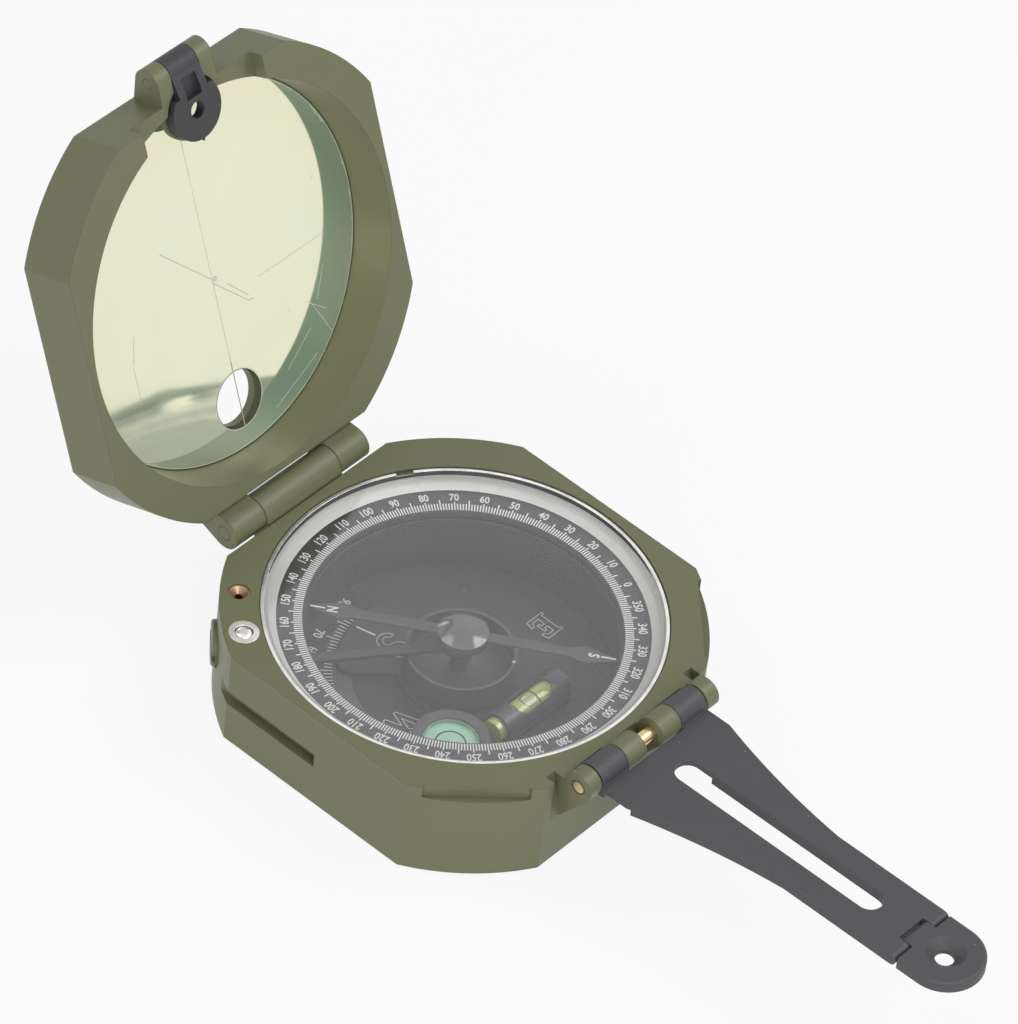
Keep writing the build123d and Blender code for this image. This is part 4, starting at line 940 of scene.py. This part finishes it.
class COMPASS_OT_crystal_seal(bpy.types.Operator):
    """Lay the seal inside the crystal's ring, with painted shade in a dark arc on its far side and in the gap
    along the rim's lip
    """

    bl_idname = "compass.crystal_seal"
    bl_label = "Crystal seal"

    def execute(self, context):
        marks = context.scene.compass_marks
        seal = flat_ring(RING_INNER - marks.seal_width, RING_INNER, SEAL_THICK, steps=180)
        gathered("crystal_seal", [(seal, spot(0, 0, CRYSTAL_TOP))], "seal_pale", "case")
        # Painted shade: a dark arc that tapers to its ends on the far side, and a dark ring in the gap along the
        # rim's lip
        arc = flat_ring(
            RING_INNER - SHADE_ARC_WIDTH, RING_INNER, RING_SHADE_THICK, *SHADE_ARC_ENDS, steps=90, tapered=True,
        )
        gap = flat_ring(RIM_BORE - RIM_GAP_SHADE_WIDTH, RIM_BORE - RIM_GAP_PLAY, RING_SHADE_THICK, steps=180)
        placed = [(arc, spot(0, 0, CRYSTAL_TOP + SEAL_THICK)), (gap, spot(0, 0, RING_TOP))]
        gathered("crystal_shade_lines", placed, "ring_shade_grey", "case")
        return {"FINISHED"}


# The gap round the arm's pin: how far it reaches over the pin and over the case
PIN_GAP_INWARD = 0.08 * MM
PIN_GAP_OUTWARD = 0.17 * MM


class COMPASS_OT_pin_gaps(bpy.types.Operator):
    """Draw the dark gap round both ends of the arm's pin"""

    bl_idname = "compass.pin_gaps"
    bl_label = "Pin gaps"

    def execute(self, context):
        thin = context.scene.compass_marks.print_thickness
        middle = (PIN_LOW + PIN_HIGH) / 2
        placed = []
        for x, turn in ((PIN_LOW.x, -pi / 2), (PIN_HIGH.x, pi / 2)):
            gap = flat_ring(PIN_RADIUS - PIN_GAP_INWARD, PIN_RADIUS + PIN_GAP_OUTWARD, thin, steps=48)
            place = Matrix.Translation((x, middle.y, middle.z)) @ Matrix.Rotation(turn, 4, "Y")
            placed.append((gap, place))
        gathered("arm_pin_gaps", placed, "print_black", "case")
        return {"FINISHED"}


# Print on the needle
NEEDLE_LETTER = 2.55 * MM
NEEDLE_LETTER_RADIUS = 21.8 * MM
NEEDLE_TYPE = {"narrow": 0.72, "bold": 0.06 * MM}
NEEDLE_LINE = (2.5 * MM, 0.28 * MM)
NEEDLE_LINE_RADIUS = 24.25 * MM


class COMPASS_OT_needle_marks(bpy.types.Operator):
    """Print the letters and tip lines on the needle"""

    bl_idname = "compass.needle_marks"
    bl_label = "Needle marks"

    def execute(self, context):
        thin = context.scene.compass_marks.print_thickness
        low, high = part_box("needle_bar")
        north = atan2(high.y, low.x)
        placed = []
        for words, angle in (("N", north), ("S", north + pi)):
            letter = lettering(words, NEEDLE_LETTER, thin, **NEEDLE_TYPE)
            placed.append((letter, round_the_dial(angle, NEEDLE_LETTER_RADIUS, NEEDLE_TOP)))
            line = block((*NEEDLE_LINE, thin))
            placed.append((line, round_the_dial(angle, NEEDLE_LINE_RADIUS, NEEDLE_TOP, turn=0)))
        gathered("needle_marks", placed, "print_white", "needle")
        return {"FINISHED"}


# Print on the floor. Each letter has its outline, a widening and the place of its middle
FLOOR_LETTERS = ((LETTER_E, 1.0, 19.3 * MM, -2.0 * MM), (LETTER_W, 1.12, -14.75 * MM, -0.75 * MM))
FLOOR_LETTER_LINE = 0.14 * MM
SLOPE_NUMBERS = (0, 10, 20, 30, 40, 50, 60, 70, 90)
SLOPE_NUMBER_SIZE = 2.35 * MM
SLOPE_NUMBER_RADIUS = 24.4 * MM
SLOPE_TYPE = {"narrow": 0.85, "bold": 0.04 * MM}
SLOPE_SCALE = {
    "Count": 46, "Step": radians(2), "Length": 1.4 * MM, "Five_Length": 2.3 * MM, "Ten_Length": 2.3 * MM,
    "Width": 0.2 * MM,
}
SLOPE_BAND_INNER = 17.6 * MM


class COMPASS_OT_floor_marks(bpy.types.Operator):
    """Print the outlined letters and the slope scale on the floor"""

    bl_idname = "compass.floor_marks"
    bl_label = "Floor marks"

    def execute(self, context):
        marks = context.scene.compass_marks
        thin = marks.print_thickness
        start = marks.slope_zero - pi / 2
        placed = []
        for outline, wide, x, y in FLOOR_LETTERS:
            drawn = [(across * wide, up) for across, up in outline]
            place = spot(x, y, PLATE_TOP, pi)
            placed += outlined(drawn, place, marks.letter_height, FLOOR_LETTER_LINE, thin)
        for number in SLOPE_NUMBERS:
            words = lettering(str(number), SLOPE_NUMBER_SIZE, thin, **SLOPE_TYPE)
            angle = marks.slope_zero - radians(number)
            placed.append((words, round_the_dial(angle, SLOPE_NUMBER_RADIUS, PLATE_TOP, turn=pi / 2)))
        gathered("floor_letters", placed, "print_white", "case")
        ticks(
            "slope_ticks", "case", PLATE_TOP, thin, Start=start, Inner_Radius=marks.slope_radius, **SLOPE_SCALE,
        )
        band = flat_ring(SLOPE_BAND_INNER, marks.slope_radius, thin / 2, start, marks.slope_zero)
        gathered("slope_band", [(band, spot(0, 0, PLATE_TOP))], "print_grey", "case")
        return {"FINISHED"}


# Marks on the levels' plate and on the cup
INDEX_LINE = (3.6 * MM, 0.3 * MM)
INDEX_ANGLE = radians(104)
INDEX_RADIUS = 17.4 * MM
DOT_HOLE = 0.02 * MM
CUP_DOT = 0.3 * MM
CUP_DOT_ANGLE = radians(-62)
PLATE_LETTER_PLACE = (-3.3 * MM, 11.5 * MM)
PLATE_LETTER_SHARE = 1.15
PLATE_LETTER_LINE = 0.15 * MM

# Rings, bubble, the bubble's rim of painted shade, and painted highlights and glints of the tube level, in mm:
# along, aside, half length, half width, then the squareness of the outline and the lift as a share of the print's
# thickness
VIAL_PATCHES = (
    ("vial_rings", "print_black", "black_works", ((-2.7, 0, 0.14, 3.1, 8, 1.0), (1.95, 0, 0.14, 3.1, 8, 1.0))),
    ("vial_bubble_shaded_rim", "bubble_shade_green", "vial_liquid", ((0.45, 0.2, 1.55, 1.35, 2.4, 0.6),)),
    ("vial_bubble", "bubble_pale", "vial_liquid", ((0.5, 0.2, 1.38, 1.18, 2.4, 1.2),)),
    (
        "vial_end_highlight", "vial_highlight_green", "vial_liquid",
        ((-3.3, 0.3, 0.45, 1.7, 4, 0.8), (-7.3, 0.9, 0.35, 0.8, 2, 0.8)),
    ),
    (
        "vial_glint", "print_white", "vial_liquid",
        ((1.25, 1.0, 0.22, 0.3, 2, 1.8), (0.1, -0.5, 0.5, 0.16, 2, 1.8)),
    ),
)

# The round level: play in its glass, depth of its floor, wall, and the ring and bubble on the floor. The wall and
# the bubble's ring are darker tones of the green, painted shade
ROUND_PLAY = 0.06 * MM
ROUND_DEPTH = 0.95 * MM
ROUND_WALL = 0.3 * MM
ROUND_WALL_HEIGHT = 0.8 * MM
ROUND_FLOOR_THICK = 0.04 * MM
ROUND_FLOOR_HOLE = 0.01 * MM
ROUND_RING = (2.34 * MM, 2.62 * MM, 0.06 * MM)
ROUND_BUBBLE = (0.88 * MM, 1.06 * MM, 0.07 * MM)
ROUND_BUBBLE_PLACE = (-0.84 * MM, -0.64 * MM, 0)


class COMPASS_OT_level_marks(bpy.types.Operator):
    """Add the bubbles, rings and index line of the levels, with painted shade at the bubbles' rims and painted
    highlights and glints on the tube level
    """

    bl_idname = "compass.level_marks"
    bl_label = "Level marks"

    def execute(self, context):
        marks = context.scene.compass_marks
        thin = marks.print_thickness
        index = block((*INDEX_LINE, thin))
        placed = [(index, round_the_dial(INDEX_ANGLE, INDEX_RADIUS, FAN_TOP, turn=0))]
        dot = flat_ring(DOT_HOLE, CUP_DOT, 2 * thin, steps=20)
        placed.append((dot, round_the_dial(CUP_DOT_ANGLE, CUP_EDGE, CUP_TOP)))
        place = spot(*PLATE_LETTER_PLACE, FAN_TOP, pi)
        tall = PLATE_LETTER_SHARE * marks.letter_height
        placed += outlined(letter_s(), place, tall, PLATE_LETTER_LINE, thin)
        gathered("slope_index", placed, "print_white", "levels")
        for name, finish_name, slot, patches in VIAL_PATCHES:
            parts = []
            for along, aside, half_length, half_width, square, lift in patches:
                patch = vial_patch(half_length * MM, half_width * MM, thin * lift, square)
                roll = Matrix.Rotation(aside / VIAL_RADIUS * MM, 4, "X")
                middle = Matrix.Translation(VIAL_CENTRE + Vector((along * MM, 0, 0)))
                parts.append((patch, middle @ roll))
            gathered(name, parts, finish_name, "levels")
        self.fill_round_level()
        return {"FINISHED"}

    @staticmethod
    def fill_round_level():
        """The round level's tinted cup with painted shade on its wall, the ring on its floor, and the bubble as a
        ring of painted shade at its edge.
        """
        radius = (ROUND_HIGH.x - ROUND_LOW.x) / 2 - ROUND_PLAY
        inside = radius - ROUND_WALL
        centre = spot(ROUND_CENTRE.x, ROUND_CENTRE.y, ROUND_HIGH.z - ROUND_DEPTH)
        aside = centre @ spot(*ROUND_BUBBLE_PLACE)
        floor = (ROUND_FLOOR_HOLE, inside, ROUND_FLOOR_THICK)
        wall = (inside, radius, ROUND_WALL_HEIGHT)
        for name, finish_name, slot, ring, place in (
            ("round_level_floor", "round_level_floor", "round_level_liquid", floor, centre),
            ("round_level_shaded_wall", "round_level_shaded_wall", "round_level_liquid", wall, centre),
            ("round_level_ring", "print_black", "black_works", ROUND_RING, centre),
            ("round_level_bubble_shade", "bubble_teal_shade", "round_level_liquid", ROUND_BUBBLE, aside),
        ):
            gathered(name, [(flat_ring(*ring), place)], finish_name, "levels")


# Lines on the mirror: width and length, and the place of the middle
MIRROR_MARK_THICK = 0.02 * MM
SIGHT_LINE = (0.15 * MM, 52.0 * MM)
SIGHT_LINE_PLACE = (0, -8.0 * MM, 0)
WINDOW_LINE = (0.22 * MM, 14.0 * MM)
WINDOW_LINE_PLACE = (0, 24.2 * MM, 0)
MIRROR_DOT = 0.5 * MM
MIRROR_DOT_PLACE = (0.6 * MM, 1.5 * MM, 0)

# Fine scratches on the mirror: place across and along in mm, turn in degrees and length in mm
SCRATCH_THICK = 0.012 * MM
DARK_SCRATCH_WIDTH = 0.11 * MM
PALE_SCRATCH_WIDTH = 0.09 * MM
DARK_SCRATCHES = ((-4.9, -3.7, 46, 13.6), (3.4, 5.6, 46, 9.9), (4.9, 5.9, 48, 5.8), (7.2, 9.0, 20, 0.9))
PALE_SCRATCHES = (
    (17.6, 6.1, 0, 15.8), (21.2, 20.1, 66, 7.7), (-20.2, 10.7, 90, 7.0), (-19.4, 4.4, 106, 4.8),
    (13.1, 28.0, -22, 12.0), (15.0, 23.0, -34, 8.0), (20.5, 17.5, 40, 5.5), (22.5, 14.0, 118, 6.0),
)


class COMPASS_OT_sight_line(bpy.types.Operator):
    """Lay the sight line down the middle of the mirror"""

    bl_idname = "compass.sight_line"
    bl_label = "Sight line"

    def execute(self, context):
        face = LID_FRAME @ spot(0, 0, MIRROR_FACE - MIRROR_MARK_THICK)
        line = block((*SIGHT_LINE, MIRROR_MARK_THICK)), face @ spot(*SIGHT_LINE_PLACE)
        across = block((*WINDOW_LINE, MIRROR_MARK_THICK)), face @ spot(*WINDOW_LINE_PLACE)
        dot = flat_ring(DOT_HOLE, MIRROR_DOT, MIRROR_MARK_THICK, steps=24), face @ spot(*MIRROR_DOT_PLACE)
        dark = [across] + [self.scratch(face, DARK_SCRATCH_WIDTH, *mark) for mark in DARK_SCRATCHES]
        pale = [line, dot] + [self.scratch(face, PALE_SCRATCH_WIDTH, *mark) for mark in PALE_SCRATCHES]
        gathered("mirror_sight_line", pale, "mirror_pale", "lid")
        gathered("mirror_dark_marks", dark, "mirror_grey", "lid")
        return {"FINISHED"}

    @staticmethod
    def scratch(face, width, x, y, turn, length):
        """One thin scratch on the mirror and its place."""
        place = face @ spot(x * MM, y * MM, 0, radians(turn))
        return block((length * MM, width, SCRATCH_THICK)), place


# The stage, in metres. Lamps: direction from +X, rise, distance, size and watts
SENSOR_WIDTH = 36.0
VIEW_END = 20.0
FLOOR_REACH = 3.0
FLOOR_DROP = 0.2 * MM
FLOOR_DARK = (0.82, 0.82, 0.82, 1.0)
FLOOR_LIGHT = (0.84, 0.84, 0.84, 1.0)
WHITE = (1.0, 1.0, 1.0, 1.0)
LAMP_TARGET = Vector((0, 0, 0.02))
LAMPS = (
    ("left_box", 126, 56, 1.0, 0.5, 1.8),
    ("right_box", -36, 50, 1.0, 0.5, 3.2),
    ("front_box", 246, 30, 1.3, 0.9, 6.8),
    ("side_box", 200, 14, 1.0, 0.4, 2.6),
)


class COMPASS_OT_stage(bpy.types.Operator):
    """Set the floor, the light and the camera"""

    bl_idname = "compass.stage"
    bl_label = "Stage"

    def execute(self, context):
        stage = context.scene.compass_stage
        context.scene.view_settings.view_transform = "Standard"
        self.lay_floor(stage)
        self.fill_sky(context, stage)
        self.hang_lamps(context)
        camera_data = bpy.data.cameras.new("view")
        camera_data.lens = stage.camera_lens
        camera_data.sensor_width = SENSOR_WIDTH
        camera_data.clip_end = VIEW_END
        camera = bpy.data.objects.new("view", camera_data)
        camera.location = stage.camera_place
        camera.rotation_euler = Euler(stage.camera_turn)
        context.scene.collection.objects.link(camera)
        context.scene.camera = camera
        return {"FINISHED"}

    @staticmethod
    def seen_rays(flow):
        """1 for rays from the camera and from gloss or glass, 0 for the rays that light things."""
        camera = flow.add("ShaderNodeLightPath", output="Is Camera Ray")
        paths = camera.socket.node.outputs
        glossy = Flow(flow.tree, paths["Is Glossy Ray"])
        through = Flow(flow.tree, paths["Is Transmission Ray"])
        return camera.larger(glossy.larger(through))

    def lay_floor(self, stage):
        """A wide pale floor that looks white and keeps a faint shadow."""
        maker = bmesh.new()
        bmesh.ops.create_grid(maker, x_segments=1, y_segments=1, size=FLOOR_REACH)
        bmesh.ops.translate(maker, vec=(0, 0, -FLOOR_DROP), verts=maker.verts)
        mesh = made(maker, "floor")
        floor = new_piece("floor", mesh)
        material, shader, place = new_material("floor_white")
        tone = noise(place, cells=3.0)
        feed(shader, Base_Color=tone.mixed(FLOOR_DARK, FLOOR_LIGHT), Roughness=0.9)
        flow = Flow(material.node_tree)
        glow = flow.add("ShaderNodeEmission", None, {"Color": WHITE, "Strength": 1.0})
        show_mix(material, shader, glow, self.seen_rays(flow) * (1 - stage.floor_shadow))
        mesh.materials.append(material)

    def fill_sky(self, context, stage):
        """A white surround for the eye and for gloss, and an even, dimmer light."""
        world = bpy.data.worlds.new("surround")
        context.scene.world = world
        world.use_nodes = True
        tree = world.node_tree
        tree.nodes.clear()
        flow = Flow(tree)
        seen = self.seen_rays(flow)
        strength = seen * (1 - stage.sky_light) + stage.sky_light
        sky = flow.add("ShaderNodeBackground", None, {"Color": WHITE, "Strength": strength})
        output = tree.nodes.new("ShaderNodeOutputWorld")
        tree.links.new(sky.socket, output.inputs["Surface"])

    @staticmethod
    def hang_lamps(context):
        """Two soft boxes left and right of the dial, a large low one in front, a small low one at the left."""
        for name, polar, rise, reach, size, watts in LAMPS:
            lamp = bpy.data.lights.new(name, "AREA")
            lamp.shape = "SQUARE"
            lamp.size = size
            lamp.energy = watts
            box = bpy.data.objects.new(name, lamp)
            turn, lift = radians(polar), radians(rise)
            flat = reach * cos(lift)
            box.location = LAMP_TARGET + Vector((flat * cos(turn), flat * sin(turn), reach * sin(lift)))
            box.rotation_euler = (LAMP_TARGET - box.location).to_track_quat("-Z", "Y").to_euler()
            context.scene.collection.objects.link(box)


class COMPASS_PT_dress(bpy.types.Panel):
    """Lists the compass's pieces and settings"""

    bl_idname = "COMPASS_PT_dress"
    bl_label = "Compass"
    bl_space_type = "VIEW_3D"
    bl_region_type = "UI"
    bl_category = "Compass"

    def draw(self, context):
        for operator in OPERATORS:
            self.layout.operator(operator.bl_idname)
        for settings in (context.scene.compass_paint, context.scene.compass_marks, context.scene.compass_stage):
            box = self.layout.box()
            for key in settings.__annotations__:
                box.prop(settings, key)


OPERATORS = (
    COMPASS_OT_finishes, COMPASS_OT_dial_marks, COMPASS_OT_crystal_seal, COMPASS_OT_pin_gaps,
    COMPASS_OT_needle_marks, COMPASS_OT_floor_marks, COMPASS_OT_level_marks, COMPASS_OT_sight_line,
    COMPASS_OT_stage,
)
SETTINGS = {"compass_paint": PaintSettings, "compass_marks": MarkSettings, "compass_stage": StageSettings}
CLASSES = (*SETTINGS.values(), *OPERATORS, COMPASS_PT_dress)


def register():
    for made_class in CLASSES:
        bpy.utils.register_class(made_class)
    for name, settings in SETTINGS.items():
        setattr(bpy.types.Scene, name, PointerProperty(type=settings))


def unregister():
    for name in SETTINGS:
        delattr(bpy.types.Scene, name)
    for made_class in reversed(CLASSES):
        bpy.utils.unregister_class(made_class)


def main():
    register()
    for operator in OPERATORS:
        group, name = operator.bl_idname.split(".")
        getattr(getattr(bpy.ops, group), name)()


if __name__ == "__main__":
    main()
